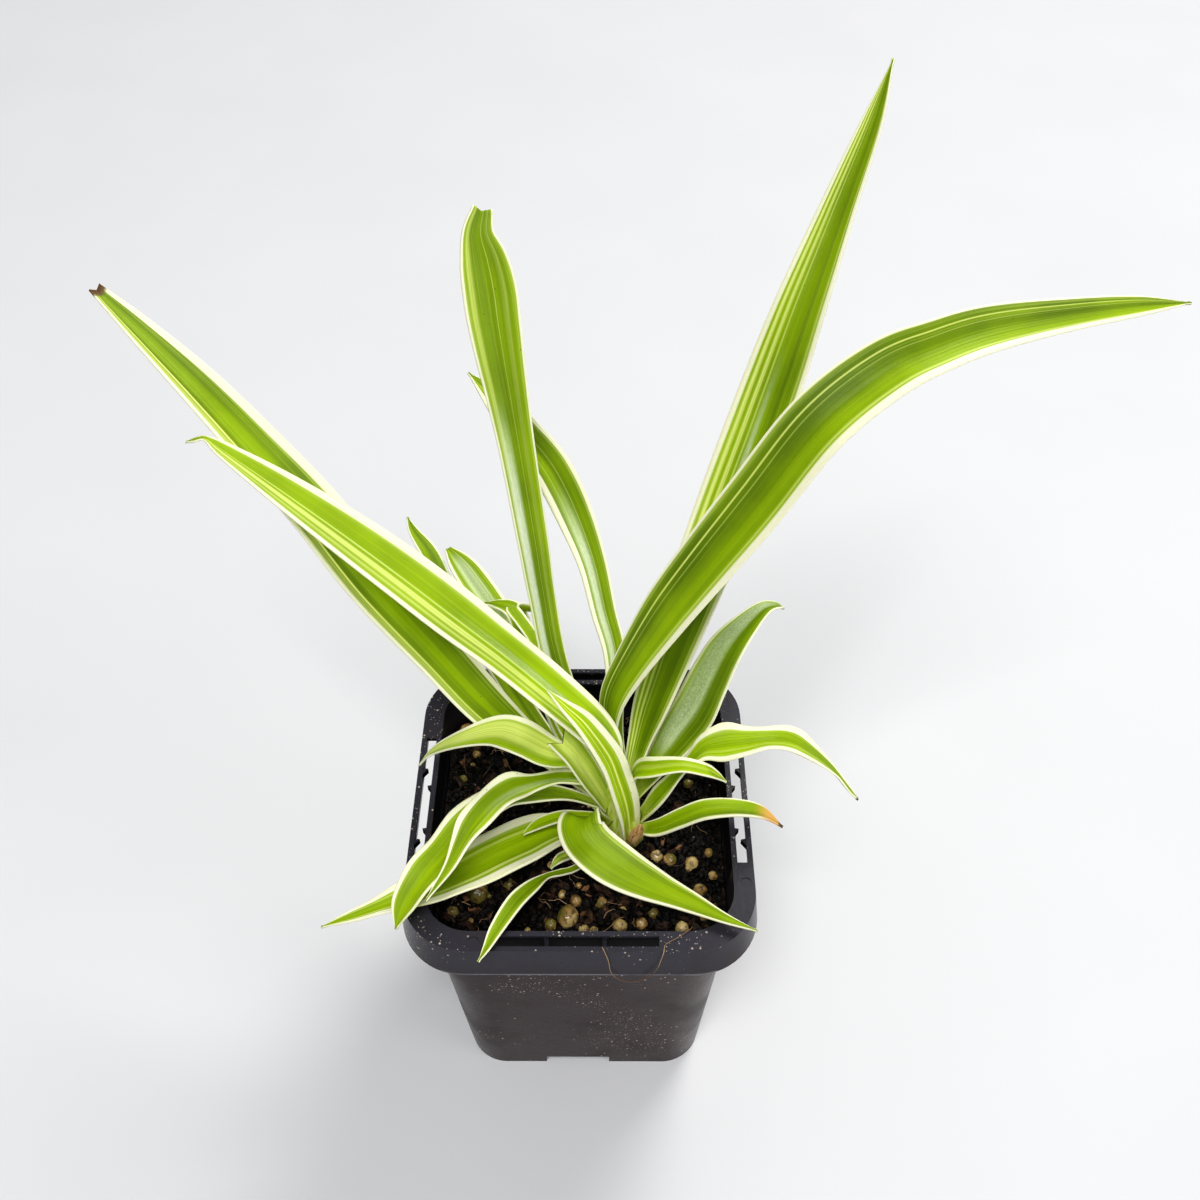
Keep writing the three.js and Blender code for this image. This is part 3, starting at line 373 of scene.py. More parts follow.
class Finish:
    """A material built on one Principled shader."""

    def __init__(self, name, **constants):
        self.material = bpy.data.materials.new(name)
        self.material.use_nodes = True
        self.tree = self.material.node_tree
        self.shader = self.tree.nodes["Principled BSDF"]
        for socket, value in constants.items():
            self.shader.inputs[socket.replace("_", " ")].default_value = value

    def node(self, kind, settings=None, output=0, **inputs):
        return add_node(self.tree, kind, settings, output, **inputs)

    def place(self):
        return self.node("ShaderNodeTexCoord", output="Object")

    def split(self, where):
        made = self.node("ShaderNodeSeparateXYZ", in0=where)
        return [Wire(self.tree, made.socket.node.outputs[i]) for i in range(3)]

    def across_and_along(self):
        return self.split(self.node("ShaderNodeUVMap", {"uv_map": "blade"}))[:2]

    def vector(self, x=0.0, y=0.0, z=0.0):
        return self.node("ShaderNodeCombineXYZ", X=x, Y=y, Z=z)

    def noise(self, where, scale, detail=3.0, roughness=0.5):
        return self.node("ShaderNodeTexNoise", Vector=where, Scale=scale, Detail=detail,
                         Roughness=roughness)

    def cells(self, where, scale):
        return self.node("ShaderNodeTexVoronoi", Vector=where, Scale=scale)

    def mix(self, factor, low, high):
        def colour(value):
            return value if isinstance(value, Wire) else (*value, 1)
        return self.node("ShaderNodeMix", {"data_type": "RGBA"}, output=2,
                         in0=factor, in6=colour(low), in7=colour(high))

    def bump(self, height, distance, strength, normal=None):
        """Relief, laid over the relief of another bump where normal is given."""
        below = {"Normal": normal} if normal else {}
        return self.node("ShaderNodeBump", Height=height, Distance=distance, Strength=strength,
                         **below)

    def feed(self, **wires):
        for name, wire in wires.items():
            self.tree.links.new(wire.socket, self.shader.inputs[name.replace("_", " ")])
        return self.material


# ---------------- finishes
DEEP_GREEN = (0.115, 0.19, 0.0003)
LEAF_GREEN = (0.42, 0.6, 0.0008)
PALE_GREEN = (0.62, 0.74, 0.16)
CREAM = (0.92, 0.91, 0.64)
DRY_BROWN = (0.15, 0.085, 0.035)
GOLD = (0.8, 0.4, 0.12)
LINE_YELLOW = (0.8, 0.88, 0.25)
FOOT_YELLOW = (0.76, 0.84, 0.17)
# painted sheen: the pale colour of a reflection, painted over part of some leaves
SHEEN_GREY = (0.84, 0.9, 0.72)
SPECK_GREEN = (0.06, 0.09, 0.004)


def paint_lines(leaf, colour, stripe, fine, lines):
    """Pale lines that run along the blade."""
    for place, reach, strength in lines:
        line = 1 - (stripe - place).abs().between(reach * 0.4, reach * 1.5)
        line = line * (fine.between(0.3, 0.6) * 0.4 + 0.6) * strength
        colour = leaf.mix(line, colour, LINE_YELLOW)
    return colour


def paint_margins(leaf, colour, stripe, along, fine, margins):
    """A cream margin on each side, with a pale hem inside it and green streaks in it."""
    for sign, base, tip in zip((-1, 1), *margins):
        inner = 1 - (along * (tip - base) + base) + (fine - 0.5) * 0.06
        reach = stripe * sign
        hem = reach.between(inner - 0.22, inner) * fine.between(0.35, 0.6)
        colour = leaf.mix(hem * 0.5, colour, PALE_GREEN)
        colour = leaf.mix(reach.between(inner - 0.03, inner + 0.03), colour, CREAM)
        streak = reach.between(inner + 0.02, inner + 0.06) * fine.between(0.6, 0.68)
        colour = leaf.mix(streak * 0.4, colour, PALE_GREEN)
    return colour


def paint_sheen(leaf, colour, stripe, along, grain, broad, sheen_patch):
    """A painted sheen: a grainy pale patch of reflection painted into the colour over part of the
    blade.
    """
    place, reach, start, end, strength = sheen_patch
    patch = 1 - (stripe - place).abs().between(reach * 0.3, reach * 1.1)
    patch = patch * along.between(start, start + 0.1) * (1 - along.between(end - 0.2, end))
    cover = grain.between(0.4, 0.62) * 0.25 + broad.between(0.35, 0.6) * 0.35 + 0.3
    return leaf.mix(patch * cover * strength, colour, SHEEN_GREY)


def leaf_finish(name, seed, margins, light, lines=(), ribs=0.03, sheen_patch=None, brown=0, golden=0):
    """One leaf's green, with its stripes, margins, marks, painted sheen and relief as MARKINGS
    gives them.
    """
    leaf = Finish(name, Subsurface_Weight=0.12, Subsurface_Radius=(0.004, 0.006, 0.001),
                  Subsurface_Scale=0.3, Specular_IOR_Level=0.2)
    across, along = leaf.across_and_along()
    spot = leaf.place()
    # streaks that run with the veins, and a slow wander of every stripe
    broad = leaf.noise(leaf.vector(across * 4 + seed, along * 0.8, seed * 1.7), 1, 4)
    fine = leaf.noise(leaf.vector(across * 38 + seed, along * 1.8, seed), 1, 2)
    wander = leaf.noise(leaf.vector(seed * 3.1, along * 5, seed), 1, 2) - 0.5
    stripe = across * 2 - 1 + wander * 0.07
    vein = (across * 88 + wander * 2).sin()
    blotch = leaf.noise(spot, 55, 3)
    # the green, yellower on one half than on the other
    half = stripe.between(-0.25, 0.25) * (light[1] - light[0]) + light[0]
    depth = blotch.between(0.3, 0.7) * 0.2 + broad.between(0.36, 0.64) * 0.35 + half * 0.5
    colour = leaf.mix(depth.clamp(), DEEP_GREEN, LEAF_GREEN)
    colour = leaf.mix(vein.between(0.2, 1) * ribs, colour, DEEP_GREEN)
    colour = leaf.mix(fine.between(0.56, 0.7) * 0.14, colour, PALE_GREEN)
    colour = paint_lines(leaf, colour, stripe, fine, lines)
    colour = paint_margins(leaf, colour, stripe, along, fine, margins)
    # a painted sheen: a pale patch of reflection painted into the colour
    if sheen_patch:
        grain = leaf.noise(leaf.vector(across * 50, along * 110, seed), 1, 3)
        colour = paint_sheen(leaf, colour, stripe, along, grain, broad, sheen_patch)
    foot = 1 - along.between(0.0, 0.09)
    colour = leaf.mix(foot * 0.6, colour, FOOT_YELLOW)
    if golden:
        colour = leaf.mix(along.between(1 - golden * 1.2, 1 - golden * 0.5) * 0.85, colour, GOLD)
    if brown:
        edge = along + wander * 0.02
        colour = leaf.mix(edge.between(1 - brown * 1.5, 1 - brown * 0.8), colour, DRY_BROWN)
    specks = (1 - leaf.cells(spot, 300).between(0.03, 0.07)) * blotch.between(0.56, 0.6)
    colour = leaf.mix(specks * 0.6, colour, SPECK_GREEN)
    # relief of the veins, of slow dents and of the skin's grain
    normal = leaf.bump(vein * 0.2 + fine, 0.0001, 0.6)
    normal = leaf.bump(leaf.noise(spot, 260, 2), 0.00025, 0.35, normal)
    normal = leaf.bump(leaf.noise(spot, 2200, 1), 0.00005, 0.35, normal)
    rough = 0.32 + leaf.noise(spot, 120, 3) * 0.14 + fine * 0.1
    return leaf.feed(Base_Color=colour, Roughness=rough, Normal=normal)


def crown_finish():
    """Pale green sheaths with a grain that runs upwards."""
    crown = Finish("pale_sheath", Subsurface_Weight=0.15, Subsurface_Radius=(0.004, 0.004, 0.001),
                   Subsurface_Scale=0.3)
    spot = crown.place()
    grain = crown.noise(crown.node("ShaderNodeMapping", Vector=spot, Scale=(900, 900, 60)), 1, 3)
    colour = crown.mix(grain.between(0.4, 0.65), (0.8, 0.86, 0.28), (0.5, 0.64, 0.05))
    return crown.feed(Base_Color=colour, Roughness=grain * 0.2 + 0.42,
                      Normal=crown.bump(grain, 0.0003, 0.5))


def paper_scale_finish():
    """Dry brown paper with dark spots, still green at its foot."""
    dry = Finish("papery_scale")
    across, along = dry.across_and_along()
    grain = dry.noise(dry.vector(across * 30, along * 3), 1, 3)
    colour = dry.mix(grain.between(0.35, 0.65), (0.45, 0.2, 0.05), (0.8, 0.55, 0.24))
    spots = dry.noise(dry.place(), 900, 2)
    colour = dry.mix(spots.between(0.55, 0.66) * 0.8, colour, (0.14, 0.05, 0.015))
    colour = dry.mix((1 - along.between(0.25, 0.6)) * 0.6, colour, (0.36, 0.42, 0.06))
    return dry.feed(Base_Color=colour, Roughness=grain * 0.2 + 0.65,
                    Normal=dry.bump(grain, 0.0003, 0.7))


def plastic_finish():
    """Black plastic, satin, with a mottled moulded skin and specks of dried mix on it, and with a
    painted reflection, a painted highlight and painted shade.
    """
    plastic = Finish("black_pot_plastic", Specular_IOR_Level=0.18)
    spot = plastic.place()
    x, y, height = [length * (1 / MM) for length in plastic.split(spot)]
    nearer, farther = x.abs().smallest(y.abs()), x.abs().largest(y.abs())
    cloud = plastic.noise(spot, 55, 4)
    smear = cloud.between(0.45, 0.72)
    # painted reflection: the body gets a warm cast, as if reflecting a wooden table, and the rim a
    # lighter, cooler one, as if reflecting the sky
    tone = plastic.mix(height.between(70, 88), (0.026, 0.013, 0.0135), (0.038, 0.036, 0.046))
    tone = plastic.mix(smear * 0.4, tone, (0.035, 0.026, 0.026))
    # specks gather on the rim and here and there on the body
    rim_top = height.between(POT_HEIGHT - 1.2, POT_HEIGHT - 0.2)
    gather = plastic.noise(spot, 32, 3) + rim_top * 0.1
    specks = (1 - plastic.cells(spot, 420).between(0.08, 0.15)) * gather.between(0.47, 0.54)
    grains = (1 - plastic.cells(spot, 1100).between(0.1, 0.2)) * gather.between(0.54, 0.6)
    dust = specks.largest(grains)
    tone = plastic.mix(dust * 0.85, tone, (0.55, 0.47, 0.39))
    # painted highlight: a thin pale line along the skirt's lower edge, where light catches the
    # rounded edge, broken up by a cloud
    outside = farther.between(RIM_WIDTH / 2 - 0.2, RIM_WIDTH / 2 + 0.2)
    edge = (height.between(SKIRT_FOOT - 0.1, SKIRT_FOOT + 0.1)
            - height.between(SKIRT_FOOT + 0.4, SKIRT_FOOT + 0.7))
    highlight_breakup = cloud.between(0.35, 0.55) * 0.6 + 0.2
    tone = plastic.mix(edge * outside * highlight_breakup, tone, (0.2, 0.19, 0.21))
    # painted shade: the hollow under the rim, seen through its slots, is painted near black, but
    # for its two ribs
    slot = 1 - nearer.between(SLOT_LENGTH / 2 + 0.5, SLOT_LENGTH / 2 + 1.5)
    under = (height.between(SKIRT_FOOT - 1.3, SKIRT_FOOT + 2.7)
             - height.between(POT_HEIGHT - 1, POT_HEIGHT - 0.3))
    within = 1 - farther.between(RIM_WIDTH / 2 - 1, RIM_WIDTH / 2 - 0.5)
    from_rib = ((x - RIB_MIDDLE).abs() - RIB_REACH).abs()
    beside_rib = from_rib.between(RIB_THICKNESS / 2, RIB_THICKNESS / 2 + 0.2)
    hollow = slot * under * within * beside_rib
    tone = plastic.mix(hollow * 0.95, tone, (0.0005, 0.0005, 0.0006))
    rough = 0.27 + smear * 0.14 + dust * 0.3 + hollow * 0.4
    normal = plastic.bump(plastic.noise(spot, 800, 3), 0.00006, 0.5)
    normal = plastic.bump(plastic.noise(spot, 60, 3), 0.0005, 0.3, normal)
    return plastic.feed(Base_Color=tone, Roughness=rough, Normal=normal)


def soil_finish():
    """Nearly black damp peat with brown grains and a few pale flecks."""
    soil = Finish("damp_peat", Specular_IOR_Level=0.25)
    spot = soil.place()
    fine = soil.noise(spot, 1200, 4, 0.6)
    clod = soil.noise(spot, 190, 4)
    colour = soil.mix(clod.between(0.4, 0.7), (0.002, 0.0016, 0.0014), (0.014, 0.008, 0.005))
    colour = soil.mix(fine.between(0.62, 0.7) * 0.7, colour, (0.12, 0.065, 0.035))
    flecks = 1 - soil.cells(spot, 330).between(0.06, 0.1)
    colour = soil.mix(flecks * clod.between(0.5, 0.54) * 0.8, colour, (0.55, 0.48, 0.38))
    return soil.feed(Base_Color=colour, Roughness=fine * 0.5 + 0.2,
                     Normal=soil.bump(fine, 0.0008, 0.8))


def bark_finish():
    """Dark bark, with some chips a warmer brown."""
    bark = Finish("bark_chips", Specular_IOR_Level=0.3)
    spot = bark.place()
    grain = bark.noise(spot, 500, 4, 0.6)
    piece = bark.noise(spot, 130, 1)
    colour = bark.mix(grain.between(0.35, 0.65), (0.006, 0.003, 0.002), (0.06, 0.028, 0.013))
    colour = bark.mix(piece.between(0.55, 0.62) * 0.8, colour, (0.26, 0.13, 0.055))
    return bark.feed(Base_Color=colour, Roughness=grain * 0.25 + 0.55,
                     Normal=bark.bump(grain, 0.0006, 0.8))


def prill_finish():
    """Glossy beads in olive, tan and straw, stained and pitted."""
    prill = Finish("fertiliser_prills", Subsurface_Weight=0.1, Coat_Weight=0.2,
                   Subsurface_Radius=(0.002, 0.0015, 0.0005), Subsurface_Scale=0.3)
    spot = prill.place()
    batch = prill.noise(spot, 110, 1)
    stain = prill.noise(spot, 700, 3)
    colour = prill.mix(batch.between(0.44, 0.5), (0.19, 0.16, 0.035), (0.36, 0.22, 0.07))
    colour = prill.mix(batch.between(0.52, 0.58), colour, (0.55, 0.41, 0.17))
    colour = prill.mix(stain.between(0.5, 0.64) * 0.8, colour, (0.1, 0.05, 0.018))
    pits = prill.cells(spot, 900)
    colour = prill.mix((1 - pits.between(0.08, 0.2)) * 0.7, colour, (0.06, 0.03, 0.012))
    return prill.feed(Base_Color=colour, Roughness=stain * 0.3 + 0.15,
                      Normal=prill.bump(stain, 0.0004, 0.5))


def root_finish():
    """Dry brown fibre, paler in stretches."""
    root = Finish("dry_root_fibre")
    spot = root.place()
    colour = root.mix(root.noise(spot, 45, 1).between(0.4, 0.6), (0.14, 0.08, 0.045),
                      (0.5, 0.32, 0.17))
    grain = root.noise(spot, 500, 2)
    colour = root.mix(grain.between(0.5, 0.7) * 0.5, colour, (0.12, 0.06, 0.025))
    return root.feed(Base_Color=colour, Roughness=grain * 0.2 + 0.5)


def floor_finish():
    """Plain pale matt floor."""
    floor = Finish("pale_floor")
    cloud = floor.noise(floor.place(), 9, 2)
    colour = floor.mix(cloud, (0.66, 0.66, 0.665), (0.7, 0.7, 0.705))
    return floor.feed(Base_Color=colour, Roughness=cloud * 0.05 + 0.6)


# ---------------- making pieces
def finished_piece(name, mesh, material, smooth=True):
    """Puts a bmesh into the scene as an object with a finish."""
    made = bpy.data.meshes.new(name)
    mesh.to_mesh(made)
    mesh.free()
    if smooth:
        made.shade_smooth()
    made.materials.append(material)
    piece = bpy.data.objects.new(name, made)
    bpy.context.scene.collection.objects.link(piece)
    return piece


def make_real(piece):
    """Applies a piece's modifiers."""
    bpy.context.view_layer.update()
    graph = bpy.context.evaluated_depsgraph_get()
    solid = bpy.data.meshes.new_from_object(piece.evaluated_get(graph))
    piece.modifiers.clear()
    piece.data = solid
    return piece


def new_verts(extrusion):
    """The vertices that an extrusion has added."""
    return [v for v in extrusion["geom"] if isinstance(v, bmesh.types.BMVert)]


def curve_through(rows, t):
    """The point and the direction at t from 0 to 1 on a smooth curve through rows of numbers."""
    spans = len(rows) - 1
    place = min(max(t, 0.0), 1.0) * spans
    i = min(int(place), spans - 1)
    f = place - i
    before = rows[i - 1] if i else [2 * a - b for a, b in zip(rows[0], rows[1])]
    after = rows[i + 2] if i + 2 <= spans else [2 * a - b for a, b in zip(rows[-1], rows[-2])]
    values, slopes = [], []
    for p0, p1, p2, p3 in zip(before, rows[i], rows[i + 1], after):
        a = 2 * p1
        b = p2 - p0
        c = 2 * p0 - 5 * p1 + 4 * p2 - p3
        d = 3 * p1 - p0 - 3 * p2 + p3
        values.append(0.5 * (a + b * f + c * f * f + d * f ** 3))
        slopes.append(0.5 * (b + 2 * c * f + 3 * d * f * f))
    return values, slopes


def blade_point(leaf, v, t):
    """Where the blade's upper face is at v across, from -1 to 1, and t along it."""
    (x, y, z, width), slopes = curve_through(leaf["rows"], t)
    along = Vector(slopes[:3]).normalized()
    heading = math.radians(leaf["heading"])
    level = Vector((-math.sin(heading), math.cos(heading), 0))
    side = (level - along * level.dot(along)).normalized()
    if "roll" in leaf:
        (roll,), _ = curve_through([(turn,) for turn in leaf["roll"]], t)
        side = Quaternion(along, math.radians(roll)) @ side
    face = along.cross(side)
    half = max(width, BLUNT_TIP) / 2
    fold = math.radians(leaf["fold"])
    out = abs(v)
    height, cycles, lag = leaf.get("wave", (0, 0, 0))
    ripple = height * out * out * math.sin(math.pi * t) * math.sin(
        2 * math.pi * cycles * t + (0 if v > 0 else lag))
    keel = KEEL_DEPTH * math.exp(-(v / KEEL_REACH) ** 2)
    lift = out ** CHANNEL_POWER * half * math.sin(fold) + ripple - keel
    return (Vector((x, y, z)) + side * (v * half * math.cos(fold)) + face * lift
            + along * (leaf.get("notch", 0) * out * t ** 8))


def blade(name, leaf, material, columns=20, steps=10, thickness=0.5):
    """A thin keeled strap, with a sheet of across and along for its finish."""
    stations = (len(leaf["rows"]) - 1) * steps
    mesh = bmesh.new()
    bmesh.ops.create_grid(mesh, x_segments=columns, y_segments=stations, size=1, calc_uvs=True)
    sheet = mesh.loops.layers.uv.new("blade")
    for face in mesh.faces:
        for corner in face.loops:
            x, y, _ = corner.vert.co
            corner[sheet].uv = ((x + 1) / 2, (y + 1) / 2)
    for vert in mesh.verts:
        x, y, _ = vert.co
        vert.co = blade_point(leaf, x, (y + 1) / 2) * MM
    bmesh.ops.recalc_face_normals(mesh, faces=mesh.faces)
    # the faces look up, so that the thickness goes down
    side = blade_point(leaf, 0.5, 0.5) - blade_point(leaf, 0, 0.5)
    ahead = blade_point(leaf, 0, 0.52) - blade_point(leaf, 0, 0.5)
    mesh.faces.ensure_lookup_table()
    middle = mesh.faces[(stations // 2) * columns + columns * 3 // 4]
    if middle.normal.dot(ahead.cross(side)) < 0:
        bmesh.ops.reverse_faces(mesh, faces=mesh.faces)
    piece = finished_piece(name, mesh, material)
    wall = piece.modifiers.new("thickness", "SOLIDIFY")
    wall.thickness = thickness * MM
    wall.offset = -1
    return make_real(piece)


# ---------------- pot
def rounded_block(width0, width1, corner, z0, z1, steps=14):
    """A rounded square block from z0 to z1, width0 wide below and width1 wide above."""
    mesh = bmesh.new()
    bmesh.ops.create_grid(mesh, x_segments=1, y_segments=1, size=width1 / 2 * MM)
    bmesh.ops.bevel(mesh, geom=mesh.verts[:], offset=corner * MM, segments=steps,
                    affect="VERTICES", profile=0.5, offset_type="OFFSET", material=-1)
    raised = bmesh.ops.extrude_face_region(mesh, geom=mesh.faces[:])
    top = new_verts(raised)
    low = [v for v in mesh.verts if v not in set(top)]
    bmesh.ops.translate(mesh, verts=top, vec=(0, 0, z1 * MM))
    bmesh.ops.translate(mesh, verts=low, vec=(0, 0, z0 * MM))
    bmesh.ops.scale(mesh, verts=low, vec=(width0 / width1, width0 / width1, 1))
    bmesh.ops.recalc_face_normals(mesh, faces=mesh.faces)
    return mesh


def box(width, depth, height, x, y, z):
    """A block with its middle at x, y, z."""
    mesh = bmesh.new()
    bmesh.ops.create_cube(mesh, size=MM)
    bmesh.ops.scale(mesh, verts=mesh.verts, vec=(width, depth, height))
    bmesh.ops.translate(mesh, verts=mesh.verts, vec=(x * MM, y * MM, z * MM))
    return mesh


def drum(radius, low, high, x, y, sides=40):
    """An upright cylinder from low to high."""
    mesh = bmesh.new()
    bmesh.ops.create_cone(mesh, cap_ends=True, segments=sides, radius1=radius * MM,
                          radius2=radius * MM, depth=(high - low) * MM)
    bmesh.ops.translate(mesh, verts=mesh.verts, vec=(x * MM, y * MM, (low + high) / 2 * MM))
    return mesh


def carve(piece, mesh, operation):
    """Adds a shape to a piece or cuts it away."""
    tool = finished_piece("tool", mesh, piece.data.materials[0])
    cut = piece.modifiers.new("carve", "BOOLEAN")
    cut.operation = operation
    cut.solver = "EXACT"
    cut.object = tool
    make_real(piece)
    bpy.data.objects.remove(tool)


def body_width(z):
    """How wide the pot's body is at a height."""
    return BASE_WIDTH + (BODY_TOP - BASE_WIDTH) * z / POT_HEIGHT


def skirt_width(z):
    """How wide the rim's skirt is at a height."""
    return RIM_WIDTH + SKIRT_FLARE * (POT_HEIGHT - z) / SKIRT_DEPTH


def pot_shell(material):
    """The tapered body and the flared skirt, hollow from above, from below and between them."""
    under = SKIRT_FOOT - OVERCUT
    plate = POT_HEIGHT - RIM_PLATE
    above = POT_HEIGHT + OVERCUT
    pot = finished_piece("nursery_pot", rounded_block(
        skirt_width(SKIRT_FOOT), RIM_WIDTH, RIM_CORNER, SKIRT_FOOT, POT_HEIGHT), material)
    carve(pot, rounded_block(skirt_width(under) - 2 * WALL, skirt_width(plate) - 2 * WALL,
                             RIM_CORNER - WALL, under, plate), "DIFFERENCE")
    carve(pot, rounded_block(BASE_WIDTH, BODY_TOP, MOUTH_CORNER + WALL, 0, POT_HEIGHT),
          "UNION")
    carve(pot, rounded_block(body_width(FLOOR_TOP) - 2 * WALL, body_width(above) - 2 * WALL,
                             MOUTH_CORNER, FLOOR_TOP, above), "DIFFERENCE")
    carve(pot, rounded_block(body_width(-OVERCUT) - 2 * WALL,
                             body_width(FLOOR_BOTTOM) - 2 * WALL, MOUTH_CORNER - WALL,
                             -OVERCUT, FLOOR_BOTTOM), "DIFFERENCE")
    return pot


def cut_slots(pot):
    """One long label slot in each side of the rim."""
    centre = RIM_WIDTH / 2 - SLOT_INSET - SLOT_WIDTH / 2
    for x, y in ((1, 0), (-1, 0), (0, 1), (0, -1)):
        carve(pot, box(SLOT_WIDTH if x else SLOT_LENGTH, SLOT_WIDTH if y else SLOT_LENGTH,
                       3 * RIM_PLATE, x * centre, y * centre, POT_HEIGHT), "DIFFERENCE")


def shape_foot(pot):
    """The notches in the foot, the pad in the middle of the floor and the drain holes."""
    reach = BASE_WIDTH + 4
    carve(pot, box(NOTCH_WIDTH, reach, 2 * NOTCH_HEIGHT, NOTCH_SHIFT, 0, 0), "DIFFERENCE")
    carve(pot, box(reach, NOTCH_WIDTH, 2 * NOTCH_HEIGHT, 0, 0, 0), "DIFFERENCE")
    carve(pot, drum(PAD_RADIUS, 0, FLOOR_BOTTOM + 0.5, 0, 0), "UNION")
    for k in range(8):
        ring = DRAIN_RING if k % 2 == 0 else DRAIN_RING * math.sqrt(2)
        turn = k * math.pi / 4
        carve(pot, drum(DRAIN_RADIUS, -2, 2 * FLOOR_TOP, ring * math.cos(turn),
                        ring * math.sin(turn), 24), "DIFFERENCE")


def slot_tooth(wall, y, direction):
    """A small three-sided tooth that stands out of a slot's wall."""
    mesh = bmesh.new()
    back = wall - direction * WALL / 2
    half = TOOTH_LENGTH / 2
    corners = [mesh.verts.new(Vector((x, y + ahead, TOOTH_BOTTOM)) * MM) for x, ahead in (
        (back, -half), (wall + direction * TOOTH_DEPTH, TOOTH_POINT), (back, half))]
    raised = bmesh.ops.extrude_face_region(mesh, geom=[mesh.faces.new(corners)])
    top = new_verts(raised)
    bmesh.ops.translate(mesh, verts=top, vec=(0, 0, (TOOTH_TOP - TOOTH_BOTTOM) * MM))
    bmesh.ops.recalc_face_normals(mesh, faces=mesh.faces)
    return mesh


def add_ribs_and_teeth(pot):
    """Ribs under the front and back slots, and teeth that grip a label in the side slots."""
    for x in (RIB_MIDDLE - RIB_REACH, RIB_MIDDLE + RIB_REACH):
        for side in (-1, 1):
            rib = box(RIB_THICKNESS, RIB_DEPTH, RIB_HEIGHT, x, side * RIB_OUT, RIB_CENTRE)
            carve(pot, rib, "UNION")
    outer_wall = RIM_WIDTH / 2 - SLOT_INSET
    inner_wall = BODY_TOP / 2 - 0.1
    for side in (-1, 1):
        for y in OUTER_TEETH:
            carve(pot, slot_tooth(side * outer_wall, y, -side), "UNION")
        for y in INNER_TEETH:
            carve(pot, slot_tooth(side * inner_wall, y, side), "UNION")


def press_marks(pot):
    """One shallow round mark on each side of the rim."""
    for k in range(4):
        x, y = Matrix.Rotation(k * math.pi / 2, 2) @ Vector(MARK_PLACE)
        carve(pot, drum(MARK_RADIUS, POT_HEIGHT - MARK_DEPTH, POT_HEIGHT + OVERCUT, x, y, 28),
              "DIFFERENCE")


def soften(pot):
    """Rounds the edges and keeps the flat faces flat in the shading."""
    soft = pot.modifiers.new("soft_edges", "BEVEL")
    soft.width = EDGE_ROUNDING * MM
    soft.segments = 2
    soft.limit_method = "ANGLE"
    soft.angle_limit = math.radians(40)
    soft.use_clamp_overlap = True
    make_real(pot)
    pot.data.set_sharp_from_angle(angle=math.radians(35))
    flat = pot.modifiers.new("flat_faces", "WEIGHTED_NORMAL")
    flat.keep_sharp = True
    return make_real(pot)


def make_pot(material):
    pot = pot_shell(material)
    cut_slots(pot)
    shape_foot(pot)
    add_ribs_and_teeth(pot)
    press_marks(pot)
    return soften(pot)


# ---------------- potting mix
def square_reach(angle, half, corner):
    """How far a rounded square reaches from its middle at an angle."""
    c = max(abs(math.cos(angle)), abs(math.sin(angle)))
    s = min(abs(math.cos(angle)), abs(math.sin(angle)))
    a = half - corner
    if half * s / c <= a:
        return half / c
    b = a * (c + s)
    return b + math.sqrt(b * b - 2 * a * a + corner * corner)


def soil_height(x, y):
    """The slow waves of the mix, as on the plain solid that it covers."""
    return (SOIL_LEVEL + 0.55 * math.sin(0.31 * x + 1.1) * math.cos(0.27 * y - 0.4)
            + 0.35 * math.sin(0.83 * x - 0.42 * y) * math.sin(0.61 * y + 2)
            + 0.2 * math.sin(1.7 * x + 0.9 * y) * math.cos(1.3 * y - 0.6 * x))


def make_soil(material):
    """The bed of mix: a fine bumpy top on a block that fills the pot."""
    top_width = body_width(SOIL_LEVEL) - 2 * (WALL + SOIL_GAP)
    foot_width = body_width(FLOOR_TOP) - 2 * (WALL + SOIL_GAP)
    mesh = bmesh.new()
    bmesh.ops.create_grid(mesh, x_segments=170, y_segments=170, size=1)
    rim = [e for e in mesh.edges if e.is_boundary]
    for vert in mesh.verts:
        x, y, _ = vert.co
        far = max(abs(x), abs(y))
        angle = math.atan2(y, x)
        reach = square_reach(angle, top_width / 2, MOUTH_CORNER) * far
        x, y = reach * math.cos(angle), reach * math.sin(angle)
        # clods and grit, which fade out at the walls
        spot = Vector((x, y, 0))
        clod = noise.turbulence(spot * 0.35, 3, False) * 1.7 - 0.9
        grit = noise.turbulence(spot * 1.4, 3, True) * 0.9
        vert.co = Vector((x, y, soil_height(x, y) + (clod + grit) * (1 - far ** 30))) * MM
    skirt = bmesh.ops.extrude_edge_only(mesh, edges=rim)
    shrink = foot_width / top_width
    for vert in new_verts(skirt):
        vert.co = Vector((vert.co.x * shrink, vert.co.y * shrink, (FLOOR_TOP + SOIL_GAP) * MM))
    bmesh.ops.contextual_create(mesh, geom=[e for e in mesh.edges if e.is_boundary])
    bmesh.ops.recalc_face_normals(mesh, faces=mesh.faces)
    return finished_piece("potting_mix", mesh, material)


def join(mesh, part):
    """Adds a small finished shape to a larger mesh."""
    passing = bpy.data.meshes.new("passing")
    part.to_mesh(passing)
    part.free()
    mesh.from_mesh(passing)
    bpy.data.meshes.remove(passing)


def lump(mesh, place, size, turn, roughness, pick, detail=2):
    """One irregular lump, squeezed to size and turned. pick chooses its form."""
    part = bmesh.new()
    bmesh.ops.create_icosphere(part, subdivisions=detail, radius=1)
    for vert in part.verts:
        where = vert.co * 1.6 + Vector((pick * 7.3, pick, 0))
        vert.co *= 1 + roughness * (noise.noise(where) + 0.5 * noise.noise(where * 3))
    bmesh.ops.scale(part, verts=part.verts, vec=Vector(size) * MM)
    bmesh.ops.rotate(part, verts=part.verts, cent=(0, 0, 0), matrix=turn)
    bmesh.ops.translate(part, verts=part.verts, vec=Vector(place) * MM)
    join(mesh, part)


